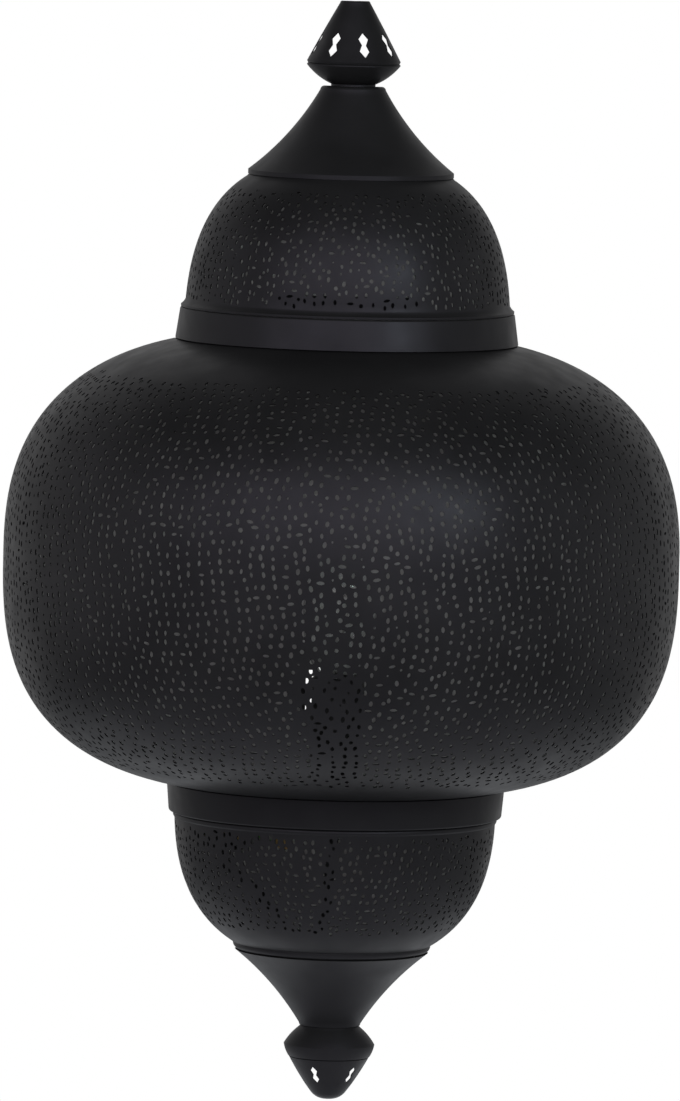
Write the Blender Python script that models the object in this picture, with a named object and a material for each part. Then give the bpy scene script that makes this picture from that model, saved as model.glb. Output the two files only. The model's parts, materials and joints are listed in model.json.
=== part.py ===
"""Half-lantern wall lamp: a pierced, spun-metal shade that hangs on a flat wall plate.

Metres, +Z up. The wall is the plane y = 0 and the lamp stands out of it towards -Y.
The origin is on the wall, level with the widest part of the shade.
"""
import math

import bmesh
import bpy
from mathutils import Matrix, Vector

# Fits between neighbouring pieces
SEAT = 0.0003
SLIP = 0.0005

# Sheet metal
SHEET = 0.0012
PLATE_THICKNESS = 0.0015
BRACKET_SHEET = 0.0015
STRAP_SHEET = 0.0015
RIM_SHEET = 0.0010
EDGE_ROUND = 0.0010

# Body of the shade: one squarish oval above its widest level and one below
BODY_HALF_WIDTH = 0.1751
BODY_OFFSET = 0.0310
BODY_RISE = 0.1171
BODY_RISE_POWER = 2.49
BODY_DROP = 0.1206
BODY_DROP_POWER = 2.79
BODY_NECK = 0.0032
BODY_COLUMNS = 24
BODY_ROWS = 7

# Collars, the tapered rings between body and domes: radius at the dome, and the body's end wider
UPPER_COLLAR_HEIGHT = 0.0157
UPPER_COLLAR_RADIUS = 0.0866
UPPER_COLLAR_SPREAD = 0.0021
LOWER_COLLAR_HEIGHT = 0.0149
LOWER_COLLAR_RADIUS = 0.0864
LOWER_COLLAR_SPREAD = 0.0012
COLLAR_SHELF = 0.0040
COLLAR_COLUMNS = 16
NECK_PLAY = 0.0001

# Upper dome: part of a squarish oval that is widest some way below the dome's foot
DOME_SKIRT_INSET = 0.0004
DOME_SKIRT_SPREAD = 0.0016
DOME_POWER = 2.82
DOME_WIDEST_BELOW_FOOT = 0.0235
DOME_HEIGHT = 0.0681
DOME_TOP_PROUD = 0.0004
DOME_SKIRT_HEIGHT = 0.0040
DOME_SKIRT_FLARE = math.radians(38)
DOME_SKIRT_EDGE = 0.0011
DOME_FLANGE = 0.0060
DOME_FLANGE_RISE = 0.0011
DOME_COLUMNS = 16
DOME_ROWS = 6

# Upper cone
CONE_LIP_RADIUS = 0.0532
CONE_LIP_HEIGHT = 0.0023
CONE_HEIGHT = 0.0436
CONE_TOP_RADIUS = 0.0170
CONE_SHOULDER = 0.0020
CONE_FLARE = math.radians(23)
CONE_HOLE_RADIUS = 0.0060
CONE_COLUMNS = 12
CONE_ROWS = 4

# Upper finial, a cup and a tapered tip
FINIAL_NECK_RADIUS = 0.0115
FINIAL_NECK_HEIGHT = 0.0010
FINIAL_CUP_HEIGHT = 0.0113
FINIAL_CUP_FLARE = math.radians(28)
FINIAL_RADIUS = 0.0242
FINIAL_LEDGE = 0.0050
FINIAL_TIP_HEIGHT = 0.0321
FINIAL_TIP_TOP_RADIUS = 0.0078
FINIAL_TIP_CROWN = math.radians(2)
VENT_RADIUS = 0.0016
FINIAL_COLUMNS = 10

# Lower dome: part of a squarish oval that is widest a little above the dome's rim
BOWL_BEAD_INSET = 0.0023
BOWL_BEAD_PROUD = 0.0007
BOWL_POWER = 2.54
BOWL_WIDEST_ABOVE_RIM = 0.0075
BOWL_HEIGHT = 0.0678
BOWL_BEAD_HEIGHT = 0.0030
BOWL_LEDGE = 0.0030
BOWL_FLANGE = 0.0055
BOWL_ROWS = 6

# Lower cone
FOOT_TOP_RADIUS = 0.0513
FOOT_LIP_PROUD = 0.0008
FOOT_LIP_HEIGHT = 0.0016
FOOT_HEIGHT = 0.0418
FOOT_BOTTOM_RADIUS = 0.0161
FOOT_FLARE = math.radians(20)
FOOT_FLANGE = 0.0055
FOOT_ROWS = 4

# Lower finial
DROP_RADIUS = 0.0236
DROP_WAIST_HEIGHT = 0.0100
DROP_CUP_FLARE = math.radians(22)
DROP_CUP_HEIGHT = 0.0158
DROP_RIM_RADIUS = 0.0212
DROP_RIM_CROWN = math.radians(24)
DROP_LEDGE = 0.0050
DROP_TIP_HEIGHT = 0.0225
DROP_END_RADIUS = 0.0088
DROP_END_HEIGHT = 0.0034
DROP_END_ROUND = math.radians(50)
DROP_SIDE_CROWN = math.radians(10)

# Piercing of the body and domes: the sheet's thousands of small holes thinned out to a staggered
# grid of lozenges, each in place of the few holes round it, with plain sheet next to the seams
PIERCING_HALF_WIDTH = 0.0020
PIERCING_HALF_HEIGHT = 0.0028
BODY_PLAIN_TOP = 0.0240
BODY_PLAIN_BOTTOM = 0.0220
DOME_PLAIN_TOP = 0.0140
DOME_PLAIN_BOTTOM = 0.0070
BOWL_PLAIN_TOP = 0.0050
BOWL_PLAIN_BOTTOM = 0.0140

# Cut-outs in the finials: two lozenges joined one above the other
LOZENGE_HALF_WIDTH = 0.0026
LOZENGE_WAIST = 0.0011
LOZENGE_HEIGHT = 0.0125
TIP_CUTOUT_TURNS = [-79, -32, 15, 62]
TIP_CUTOUT_DROP = 0.0222
DROP_CUTOUT_TURNS = [-26, 46]
DROP_CUTOUT_DROP = 0.0086
DROP_CUTOUT_SCALE = 0.72

# Straps across the back of the shade and stiffening rims along its rear edges
STRAP_PLAY = 0.0004
STRAP_TAB = 0.012
STRAP_BEND_STEPS = 3
LOWER_STRAP_HEIGHT = 0.0075
LOWER_STRAP_ABOVE_EDGE = 0.0022
RIM_WIDTH = 0.008
RIM_END_GAP = 0.004
RIM_STEPS = 9

# Wall plate
PLATE_INSET = 0.0010
PLATE_END_INSET = 0.0041
KEYHOLE_X = 0.060
KEYHOLE_Z = 0.094
KEYHOLE_RADIUS = 0.0046
KEYHOLE_SLOT_RADIUS = 0.0026
KEYHOLE_TRAVEL = 0.009
KEYHOLE_SIDES = 10
LOWER_SLOT_X = 0.050
LOWER_SLOT_BELOW_STRAP = 0.0067
LOWER_SLOT_LENGTH = 0.009
CABLE_SLOT_X = -0.0143
CABLE_SLOT_Z = -0.0705
CABLE_SLOT_WIDTH = 0.0050
CABLE_SLOT_LENGTH = 0.0240
SLOT_END_SIDES = 5
LINER_WALL = 0.0010
LINER_LIP = 0.0014

# Hook brackets that carry the shade; heights are measured from their strap's lower edge
HOOK_WIDTH = 0.012
HOOK_LIP = 0.0070
HANGER_HALF_WIDTH = 0.037
HANGER_RISE = 0.0193
HANGER_DROP = 0.0097
HANGER_HOOKS = [-0.025, 0.025]
LOWER_HOOK_HALF_WIDTH = 0.020
LOWER_HOOK_RISE = 0.0115
LOWER_HOOK_DROP = 0.0105

# Countersunk screws
SCREW_RADIUS = 0.0019
SCREW_HEAD_RADIUS = 0.0037
SCREW_SINK = 0.0001
SCREW_SIDES = 8
COUNTERSINK_ROOM = 0.0006
HANGER_SCREW_X = 0.012
HANGER_SCREW_DROP = 0.0057
LOWER_HOOK_SCREW_X = 0.014
LOWER_HOOK_SCREW_DROP = 0.0055
HOLDER_SCREW_RISES = [0.0150, 0.0060]

# Bracket of the lampholder
LAMP_Y = -0.062
BRACKET_LEVEL = -0.1110
BRACKET_WIDTH = 0.024
BRACKET_LEG = 0.0210
BRACKET_END = 0.0140
BRACKET_THICKNESS = 0.0020

# Lampholder for a candle bulb; heights are measured from the bracket
HOLDER_RADIUS = 0.0135
HOLDER_HEIGHT = 0.0545
HOLDER_WALL = 0.0013
HOLDER_CAP_HEIGHT = 0.0100
HOLDER_CAP_BAND = 0.0030
HOLDER_CAP_FLOOR = 0.0030
HOLDER_CAP_FOOT_RADIUS = 0.0085
HOLDER_SPIGOT = 0.0040
CORE_RADIUS = 0.0115
CORE_HEIGHT = 0.0087
CORE_FLOOR = 0.0040
SLEEVE_RADIUS = 0.0082
SLEEVE_WALL = 0.0007
SLEEVE_BELOW_MOUTH = 0.0035
CONTACT_FOOT_RADIUS = 0.0050
CONTACT_TOP_RADIUS = 0.0022
CONTACT_SHEET = 0.0008
NIPPLE_RADIUS = 0.0050
NIPPLE_BORE = 0.0035
NIPPLE_RISE = 0.0080
NIPPLE_DROP = 0.0130
WASHER_RADIUS = 0.0090
WASHER_THICKNESS = 0.0010
NUT_ACROSS_FLATS = 0.0140
NUT_HEIGHT = 0.0030
GRIP_RADIUS = 0.0068
GRIP_BELOW_NIPPLE = 0.0045
GRIP_TAPER = 0.0020
HOLDER_SIDES = 16
SMALL_SIDES = 12

# Candle bulb with a screw cap
CAP_RADIUS = 0.0067
CAP_HEIGHT = 0.0190
CAP_WALL = 0.0005
CAP_FLARE = 0.0004
CAP_FOOT = 0.0015
CAP_TIP = 0.0042
INSULATOR_HEIGHT = 0.0026
INSULATOR_BORE = 0.0026
BULB_RADIUS = 0.0175
BULB_NECK_RADIUS = 0.0061
BULB_NECK_LENGTH = 0.0060
BULB_BELLY_RISE = 0.0310
BULB_HEIGHT = 0.0750
BULB_TIP_RADIUS = 0.0012
BULB_CHEEK = math.radians(50)
BULB_CROWN = math.radians(64)
BULB_SIDES = 12
GLASS_WALL = 0.0008
STEM_RADIUS = 0.0026
STEM_WAIST_RADIUS = 0.0018
STEM_HEIGHT = 0.0220
FILAMENT_RADIUS = 0.0006
FILAMENT_FOOT = 0.0016
FILAMENT_LEG = 0.0030
FILAMENT_SPREAD = 0.0060
FILAMENT_RISE = 0.0260
FILAMENT_SAG = 0.0050

# Terminal block and wiring
BLOCK_X = -0.058
BLOCK_BELOW_STRAP = 0.0057
BLOCK_WIDTH = 0.0280
BLOCK_DEPTH = 0.0130
BLOCK_HEIGHT = 0.0160
BLOCK_SHOULDER = 0.0059
BLOCK_CHAMFER = 0.0040
BLOCK_POLES = 3
BLOCK_GROOVE = 0.0014
BLOCK_GROOVE_FLOOR = 0.0010
BLOCK_SCREW_OFFSET = 0.0022
BLOCK_SCREW_RADIUS = 0.0018
BLOCK_SCREW_LENGTH = 0.0021
BLOCK_WELL = 0.0030
FLEX_RADIUS = 0.0026
FLEX_ENTRY = 0.0036
EARTH_X = -0.026
EARTH_BELOW_BLOCK_TOP = 0.0120
EARTH_SCREW_HEAD = 0.0020
EARTH_WIRE_RADIUS = 0.0012
EARTH_WIRE_RISE = 0.0040
EARTH_WIRE_LIFT = 0.0009
LUG_RADIUS = 0.0045
LUG_SHEET = 0.0008

# Cutters reach this far past what they cut, and miters stretch a wall no further than this
OVERCUT = 0.0010
MITER_LIMIT = 2.0
SHARP_ANGLE = math.radians(35)


# Outlines are lists of (radius, height) from top to bottom
def arc(start, end, sweep, steps):
    """Points of a circular arc that turns by sweep between two points."""
    chord = Vector(end) - Vector(start)
    points = []
    for step in range(steps + 1):
        share = step / steps
        reach = math.sin(share * sweep / 2) / math.sin(sweep / 2)
        turned = Matrix.Rotation((share - 1) * sweep / 2, 2) @ chord
        points.append(tuple(Vector(start) + turned * reach))
    return points


def rounded_corner(start, end):
    """A convex edge of the sheet between two points of an outline."""
    return arc(start, end, -math.radians(80), 2)


def oval_width(height, offset, half_width, half_height, power):
    """Half-width of a squarish oval at a height from its widest level."""
    share = min(abs(height) / half_height, 1.0)
    return offset + (half_width - offset) * (1 - share**power) ** (1 / power)


def oval_level(width, offset, half_width, half_height, power):
    """Height from its widest level at which a squarish oval has a half-width."""
    share = (width - offset) / (half_width - offset)
    return half_height * (1 - share**power) ** (1 / power)


def oval_half_height(height, width, half_width, power):
    """Half-height of a squarish oval that has a half-width at a height from its widest level."""
    return height / (1 - (width / half_width) ** power) ** (1 / power)


def oval_run(level, offset, half_width, half_height, power, start, end, steps):
    """Points down a squarish oval between two heights, closer where it bends."""

    def turn(height):
        share = min(abs(height - level) / half_height, 1.0)
        return math.copysign(math.asin(share ** (power / 2)), height - level)

    first, last = turn(start), turn(end)
    points = []
    for step in range(steps + 1):
        angle = first + (last - first) * step / steps
        rise = math.copysign(abs(math.sin(angle)) ** (2 / power) * half_height, angle)
        points.append((oval_width(rise, offset, half_width, half_height, power), level + rise))
    return points


def inside_collar(radius, spread, height, start, end):
    """Widest radius that fits inside a collar's flat sides between two depths from its body edge."""
    slope = spread / height
    wide = radius + spread
    narrowest = min(wide - slope * start, wide - slope * end)
    wall = SHEET * math.hypot(1, slope)
    return (narrowest - wall) * math.cos(math.pi / COLLAR_COLUMNS / 2) - SEAT


def inner_outline(outline, wall):
    """The outline moved inwards by the wall, square to the sheet at each point."""
    inner = []
    for index, (radius, height) in enumerate(outline):
        before = Vector(outline[max(index - 1, 0)])
        after = Vector(outline[min(index + 1, len(outline) - 1)])
        here = Vector((radius, height))
        legs = [leg.normalized() for leg in (here - before, after - here) if leg.length > 0]
        run = sum(legs, Vector((0, 0))).normalized()
        stretch = min(1 / legs[0].dot(run), MITER_LIMIT)
        inner.append((radius + run.y * wall * stretch, height - run.x * wall * stretch))
    return inner


# Levels and radii that follow from the sizes above
AXIS_Y = -(PLATE_THICKNESS + SEAT)
BRACKET_FACE = AXIS_Y - BRACKET_SHEET
STRAP_BACK = BRACKET_FACE - STRAP_PLAY
STRAP_FRONT = STRAP_BACK - STRAP_SHEET

UPPER_COLLAR = (UPPER_COLLAR_RADIUS, UPPER_COLLAR_SPREAD, UPPER_COLLAR_HEIGHT)
LOWER_COLLAR = (LOWER_COLLAR_RADIUS, LOWER_COLLAR_SPREAD, LOWER_COLLAR_HEIGHT)
BODY_NECK_RADIUS = inside_collar(*UPPER_COLLAR, 0, BODY_NECK + SEAT) - NECK_PLAY
BODY_FOOT_RADIUS = inside_collar(*LOWER_COLLAR, 0, BODY_NECK + SEAT) - NECK_PLAY
UPPER_OVAL = (BODY_OFFSET, BODY_HALF_WIDTH, BODY_RISE, BODY_RISE_POWER)
LOWER_OVAL = (BODY_OFFSET, BODY_HALF_WIDTH, BODY_DROP, BODY_DROP_POWER)
BODY_TOP = oval_level(BODY_NECK_RADIUS, *UPPER_OVAL)
BODY_BOTTOM = -oval_level(BODY_FOOT_RADIUS, *LOWER_OVAL)

UPPER_COLLAR_BOTTOM = BODY_TOP + SEAT
UPPER_COLLAR_TOP = UPPER_COLLAR_BOTTOM + UPPER_COLLAR_HEIGHT
DOME_FOOT = UPPER_COLLAR_TOP + SEAT
DOME_LEVEL = DOME_FOOT - DOME_WIDEST_BELOW_FOOT
DOME_SKIRT_RADIUS = UPPER_COLLAR_RADIUS - DOME_SKIRT_INSET
DOME_HALF_WIDTH = DOME_SKIRT_RADIUS - DOME_SKIRT_SPREAD
DOME_RISE = oval_half_height(
    DOME_HEIGHT + DOME_WIDEST_BELOW_FOOT, CONE_LIP_RADIUS + DOME_TOP_PROUD, DOME_HALF_WIDTH, DOME_POWER
)
DOME_OVAL = (0, DOME_HALF_WIDTH, DOME_RISE, DOME_POWER)
DOME_TOP = DOME_FOOT + DOME_HEIGHT
CONE_BOTTOM = DOME_TOP + DOME_FLANGE_RISE + SEAT
CONE_TOP = CONE_BOTTOM + CONE_LIP_HEIGHT + CONE_HEIGHT
FINIAL_CUP_BOTTOM = CONE_TOP + SEAT
FINIAL_CUP_TOP = FINIAL_CUP_BOTTOM + FINIAL_CUP_HEIGHT
FINIAL_TIP_BOTTOM = FINIAL_CUP_TOP + SEAT
FINIAL_TIP_TOP = FINIAL_TIP_BOTTOM + FINIAL_TIP_HEIGHT

LOWER_COLLAR_TOP = BODY_BOTTOM - SEAT
LOWER_COLLAR_BOTTOM = LOWER_COLLAR_TOP - LOWER_COLLAR_HEIGHT
BOWL_TOP = LOWER_COLLAR_BOTTOM - SEAT
BOWL_LEVEL = BOWL_TOP + BOWL_WIDEST_ABOVE_RIM
BOWL_BEAD_RADIUS = LOWER_COLLAR_RADIUS - BOWL_BEAD_INSET
BOWL_HALF_WIDTH = BOWL_BEAD_RADIUS - BOWL_BEAD_PROUD
BOWL_DROP = oval_half_height(
    BOWL_HEIGHT + BOWL_WIDEST_ABOVE_RIM, FOOT_TOP_RADIUS - FOOT_LIP_PROUD, BOWL_HALF_WIDTH, BOWL_POWER
)
BOWL_OVAL = (0, BOWL_HALF_WIDTH, BOWL_DROP, BOWL_POWER)
BOWL_BOTTOM = BOWL_TOP - BOWL_HEIGHT
FOOT_TOP = BOWL_BOTTOM - SLIP
FOOT_BOTTOM = FOOT_TOP - FOOT_HEIGHT
DROP_CUP_TOP = FOOT_BOTTOM - SEAT
DROP_CUP_BOTTOM = DROP_CUP_TOP - DROP_CUP_HEIGHT
DROP_TIP_TOP = DROP_CUP_BOTTOM - SEAT
DROP_TIP_BOTTOM = DROP_TIP_TOP - DROP_TIP_HEIGHT

UPPER_STRAP_BOTTOM = BODY_TOP + BODY_NECK + SLIP
UPPER_STRAP_TOP = UPPER_COLLAR_TOP - SHEET - 2 * SEAT
UPPER_STRAP_RADIUS = inside_collar(
    *UPPER_COLLAR, UPPER_STRAP_BOTTOM - UPPER_COLLAR_BOTTOM, UPPER_STRAP_TOP - UPPER_COLLAR_BOTTOM
)
LOWER_STRAP_BOTTOM = LOWER_COLLAR_BOTTOM + LOWER_STRAP_ABOVE_EDGE
LOWER_STRAP_TOP = LOWER_STRAP_BOTTOM + LOWER_STRAP_HEIGHT
LOWER_STRAP_RADIUS = inside_collar(
    *LOWER_COLLAR, LOWER_COLLAR_TOP - LOWER_STRAP_TOP, LOWER_COLLAR_TOP - LOWER_STRAP_BOTTOM
)

HOLDER_FOOT = BRACKET_LEVEL + SEAT
HOLDER_CAP_TOP = BRACKET_LEVEL + HOLDER_CAP_HEIGHT
HOLDER_TOP = BRACKET_LEVEL + HOLDER_HEIGHT
HOLDER_BORE = HOLDER_RADIUS - HOLDER_WALL
CORE_BOTTOM = HOLDER_CAP_TOP + HOLDER_SPIGOT + SEAT
CORE_TOP = CORE_BOTTOM + CORE_HEIGHT
CORE_FLOOR_LEVEL = CORE_BOTTOM + CORE_FLOOR
SLEEVE_TOP = HOLDER_TOP - SLEEVE_BELOW_MOUTH
BRACKET_BOTTOM = BRACKET_LEVEL - BRACKET_THICKNESS
NIPPLE_ROOM = NIPPLE_RADIUS + SEAT
NIPPLE_TOP = BRACKET_LEVEL + NIPPLE_RISE
NIPPLE_BOTTOM = BRACKET_LEVEL - NIPPLE_DROP
WASHER_TOP = BRACKET_BOTTOM - SEAT
NUT_TOP = WASHER_TOP - WASHER_THICKNESS - SEAT
GRIP_TOP = NUT_TOP - NUT_HEIGHT - SEAT
GRIP_BOTTOM = NIPPLE_BOTTOM - SEAT - GRIP_BELOW_NIPPLE

CAP_TOP = SLEEVE_TOP - SLIP
CAP_BOTTOM = CAP_TOP - CAP_HEIGHT
BULB_NECK = CAP_TOP + SLIP
BULB_TIP = BULB_NECK + BULB_HEIGHT
STEM_TOP = BULB_NECK + STEM_HEIGHT

BLOCK_TOP = LOWER_STRAP_BOTTOM - BLOCK_BELOW_STRAP
BLOCK_BOTTOM = BLOCK_TOP - BLOCK_HEIGHT
BLOCK_FRONT = AXIS_Y - BLOCK_DEPTH
EARTH_PLACE = (EARTH_X, BLOCK_TOP - EARTH_BELOW_BLOCK_TOP)
SCREW_ROOM = SCREW_RADIUS + SEAT


# Materials
def material(name, colour, roughness, metallic):
    made = bpy.data.materials.new(name)
    made.use_nodes = True
    shader = made.node_tree.nodes["Principled BSDF"]
    shader.inputs["Base Color"].default_value = (*colour, 1.0)
    shader.inputs["Roughness"].default_value = roughness
    shader.inputs["Metallic"].default_value = metallic
    return made


def glass_material(name):
    made = material(name, (0.9, 0.93, 0.92), 0.03, 0.0)
    made.node_tree.nodes["Principled BSDF"].inputs["Transmission Weight"].default_value = 1.0
    return made


# Objects and the shapes they are made from
def empty(name, location):
    made = bpy.data.objects.new(name, None)
    made.location = location
    bpy.context.collection.objects.link(made)
    return made


def add_object(name, builder, look, parent):
    """Turn a bmesh into a smooth-shaded object with one material."""
    bmesh.ops.recalc_face_normals(builder, faces=builder.faces)
    mesh = bpy.data.meshes.new(name)
    builder.to_mesh(mesh)
    builder.free()
    mesh.shade_smooth()
    mesh.set_sharp_from_angle(angle=SHARP_ANGLE)
    mesh.materials.append(look)
    made = bpy.data.objects.new(name, mesh)
    made.parent = parent
    bpy.context.collection.objects.link(made)
    return made


def combine(target, tool, operation):
    """Cut a hidden tool out of an object, or join it on."""
    tool.hide_render = True
    tool.display_type = "WIRE"
    modifier = target.modifiers.new(tool.name, "BOOLEAN")
    modifier.operation = operation
    modifier.solver = "EXACT"
    modifier.object = tool


def on_turn(radius, height, turn):
    """A point of the shade: turn 0 faces the room, -90 and 90 degrees meet the wall."""
    return Vector((radius * math.sin(turn), AXIS_Y - radius * math.cos(turn), height))


def pierce(builder, cells):
    """Fill the same cell of both skins round a lozenge and join the lozenges through the sheet."""
    rings = []
    for corners in cells:
        top_left, top_right, low_right, low_left = [corner.co for corner in corners]
        centre = (top_left + top_right + low_right + low_left) / 4
        across = (top_right + low_right - top_left - low_left).normalized() * PIERCING_HALF_WIDTH
        down = (low_left + low_right - top_left - top_right).normalized() * PIERCING_HALF_HEIGHT
        ring = [builder.verts.new(centre + reach) for reach in (-down, across, down, -across)]
        for side in range(4):
            following = (side + 1) % 4
            builder.faces.new((corners[side], corners[following], ring[side]))
            builder.faces.new((corners[following], ring[following], ring[side]))
        rings.append(ring)
    outside, inside = rings
    for side in range(4):
        following = (side + 1) % 4
        builder.faces.new((outside[side], outside[following], inside[following], inside[side]))


def half_shell(name, outline, columns, look, parent, pierced=None):
    """Sheet-metal half of a turned form, open towards the wall, pierced between two heights."""
    builder = bmesh.new()
    turns = [math.pi * (column / columns - 0.5) for column in range(columns + 1)]
    skins = []
    for section in (outline, inner_outline(outline, SHEET)):
        skins.append([[builder.verts.new(on_turn(r, z, t)) for t in turns] for r, z in section])
    outside, inside = skins
    rows = len(outline) - 1
    for row in range(rows):
        middle = (outline[row][1] + outline[row + 1][1]) / 2
        in_zone = pierced is not None and pierced[1] < middle < pierced[0]
        for column in range(columns):
            cells = []
            for skin in skins:
                upper, lower = skin[row], skin[row + 1]
                cells.append((upper[column], upper[column + 1], lower[column + 1], lower[column]))
            if in_zone and (row + column) % 2 == 0:
                pierce(builder, cells)
            else:
                for cell in cells:
                    builder.faces.new(cell)
    for row in (0, rows):
        rim, back = outside[row], inside[row]
        for column in range(columns):
            builder.faces.new((rim[column], rim[column + 1], back[column + 1], back[column]))
    for column in (0, columns):
        for row in range(rows):
            corners = (outside[row], outside[row + 1], inside[row + 1], inside[row])
            builder.faces.new([line[column] for line in corners])
    return add_object(name, builder, look, parent)


def lathe(name, outline, segments, look, parent, centre=(0, 0), closed=True):
    """A full turned solid. A closed outline is a ring's section, an open one ends on the axis."""
    builder = bmesh.new()
    rings = []
    for radius, height in outline:
        if radius == 0:
            rings.append([builder.verts.new((centre[0], centre[1], height))] * segments)
        else:
            ring = circle(centre, radius, segments)
            rings.append([builder.verts.new((x, y, height)) for x, y in ring])
    pairs = list(zip(rings, rings[1:]))
    if closed:
        pairs.append((rings[-1], rings[0]))
    for upper, lower in pairs:
        for segment in range(segments):
            following = (segment + 1) % segments
            corners = (upper[segment], upper[following], lower[following], lower[segment])
            builder.faces.new(list(dict.fromkeys(corners)))
    return add_object(name, builder, look, parent)


def extrude_along(builder, outline, axis, low, high):
    """Add the solid of a closed flat outline drawn across an axis."""
    across = [other for other in range(3) if other != axis]
    layers = []
    for level in (low, high):
        layer = []
        for first, second in outline:
            place = [0.0, 0.0, 0.0]
            place[across[0]], place[across[1]], place[axis] = first, second, level
            layer.append(builder.verts.new(place))
        layers.append(layer)
    builder.faces.new(layers[0])
    builder.faces.new(layers[1])
    count = len(outline)
    for index in range(count):
        following = (index + 1) % count
        corners = (layers[0][index], layers[0][following], layers[1][following], layers[1][index])
        builder.faces.new(corners)


def extruded(name, outline, axis, low, high, look, parent):
    builder = bmesh.new()
    extrude_along(builder, outline, axis, low, high)
    return add_object(name, builder, look, parent)


def circle(centre, radius, sides):
    turns = [2 * math.pi * side / sides for side in range(sides)]
    return [(centre[0] + radius * math.cos(t), centre[1] + radius * math.sin(t)) for t in turns]


def stadium(centre, width, length, sides):
    """A slot upright on the page, with round ends."""
    radius, straight = width / 2, (length - width) / 2
    points = []
    for end, first in ((1, 0.0), (-1, math.pi)):
        for side in range(sides + 1):
            turn = first + math.pi * side / sides
            x = centre[0] + radius * math.cos(turn)
            points.append((x, centre[1] + end * straight + radius * math.sin(turn)))
    return points


def tapered_pin(builder, place, rings):
    """Add a turned pin along Y: rings are (radius, y) from its front to its back."""
    loops = []
    for radius, y in rings:
        loops.append([builder.verts.new((x, y, z)) for x, z in circle(place, radius, SCREW_SIDES)])
    builder.faces.new(loops[0])
    builder.faces.new(loops[-1])
    for first, second in zip(loops, loops[1:]):
        for side in range(SCREW_SIDES):
            following = (side + 1) % SCREW_SIDES
            builder.faces.new((first[side], first[following], second[following], second[side]))


def smooth_route(points, steps):
    """Points along a smooth curve that passes through each route point."""
    line = [Vector(point) for point in points]
    line = [2 * line[0] - line[1], *line, 2 * line[-1] - line[-2]]
    route = []
    for index in range(1, len(line) - 2):
        a, b, c, d = line[index - 1 : index + 3]
        bend = 2 * a - 5 * b + 4 * c - d
        twist = 3 * b - a - 3 * c + d
        for step in range(steps):
            t = step / steps
            route.append(0.5 * (2 * b + (c - a) * t + bend * t**2 + twist * t**3))
    route.append(line[-2])
    return route


def tube(name, route, radius, resolution, look, parent):
    """A solid tube along a route, a curve with a round bevel and filled ends."""
    curve = bpy.data.curves.new(name, "CURVE")
    curve.dimensions = "3D"
    curve.bevel_depth = radius
    curve.bevel_resolution = resolution
    curve.use_fill_caps = True
    spline = curve.splines.new("POLY")
    spline.points.add(len(route) - 1)
    for point, place in zip(spline.points, route):
        point.co = (*place, 1.0)
    curve.materials.append(look)
    made = bpy.data.objects.new(name, curve)
    made.parent = parent
    bpy.context.collection.objects.link(made)
    return made


# Outlines of the shade's shells
def body_outline():
    """Neck inside the upper collar, the two ovals, and foot inside the lower collar."""
    upper = oval_run(0, *UPPER_OVAL, BODY_TOP, 0, BODY_ROWS)
    lower = oval_run(0, *LOWER_OVAL, 0, BODY_BOTTOM, BODY_ROWS)
    neck = [(BODY_NECK_RADIUS, BODY_TOP + BODY_NECK)]
    foot = [(BODY_FOOT_RADIUS, BODY_BOTTOM - BODY_NECK)]
    return neck + upper + lower[1:] + foot


def upper_collar_outline():
    """Tapered ring with a flat shelf turned in at its top, under the dome."""
    radius, top = UPPER_COLLAR_RADIUS, UPPER_COLLAR_TOP
    corner = rounded_corner((radius - EDGE_ROUND, top), (radius, top - EDGE_ROUND))
    skirt = [(UPPER_COLLAR_RADIUS + UPPER_COLLAR_SPREAD, UPPER_COLLAR_BOTTOM)]
    return [(radius - COLLAR_SHELF, top)] + corner + skirt


def dome_outline():
    """Flange under the cone, the oval, and a skirt that flares out at the foot."""
    flange_level = DOME_TOP + DOME_FLANGE_RISE
    flange_edge = CONE_LIP_RADIUS - SHEET / 2
    oval = oval_run(
        DOME_LEVEL, *DOME_OVAL, DOME_TOP, DOME_FOOT + DOME_SKIRT_HEIGHT, DOME_ROWS
    )
    flange = [(flange_edge - DOME_FLANGE, flange_level), (flange_edge, flange_level)]
    skirt = arc(oval[-1], (DOME_SKIRT_RADIUS, DOME_FOOT + DOME_SKIRT_EDGE), DOME_SKIRT_FLARE, 3)
    return flange + oval + skirt[1:] + [(DOME_SKIRT_RADIUS, DOME_FOOT)]


def cone_outline():
    """Flat top with a hole, a rounded shoulder, the flare and an upright lip."""
    shoulder = rounded_corner(
        (CONE_TOP_RADIUS - CONE_SHOULDER, CONE_TOP), (CONE_TOP_RADIUS, CONE_TOP - CONE_SHOULDER)
    )
    lip_top = CONE_BOTTOM + CONE_LIP_HEIGHT
    flare = arc(shoulder[-1], (CONE_LIP_RADIUS, lip_top), CONE_FLARE, CONE_ROWS)
    return [(CONE_HOLE_RADIUS, CONE_TOP)] + shoulder + flare[1:] + [(CONE_LIP_RADIUS, CONE_BOTTOM)]


def finial_cup_outline():
    """Flat ledge, rounded rim and a bowl that narrows to the neck on the cone."""
    rim = rounded_corner(
        (FINIAL_RADIUS - EDGE_ROUND, FINIAL_CUP_TOP), (FINIAL_RADIUS, FINIAL_CUP_TOP - EDGE_ROUND)
    )
    neck_top = (FINIAL_NECK_RADIUS, FINIAL_CUP_BOTTOM + FINIAL_NECK_HEIGHT)
    bowl = arc(rim[-1], neck_top, -FINIAL_CUP_FLARE, 3)
    ledge = [(FINIAL_RADIUS - FINIAL_LEDGE, FINIAL_CUP_TOP)]
    return ledge + rim + bowl[1:] + [(FINIAL_NECK_RADIUS, FINIAL_CUP_BOTTOM)]


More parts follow.
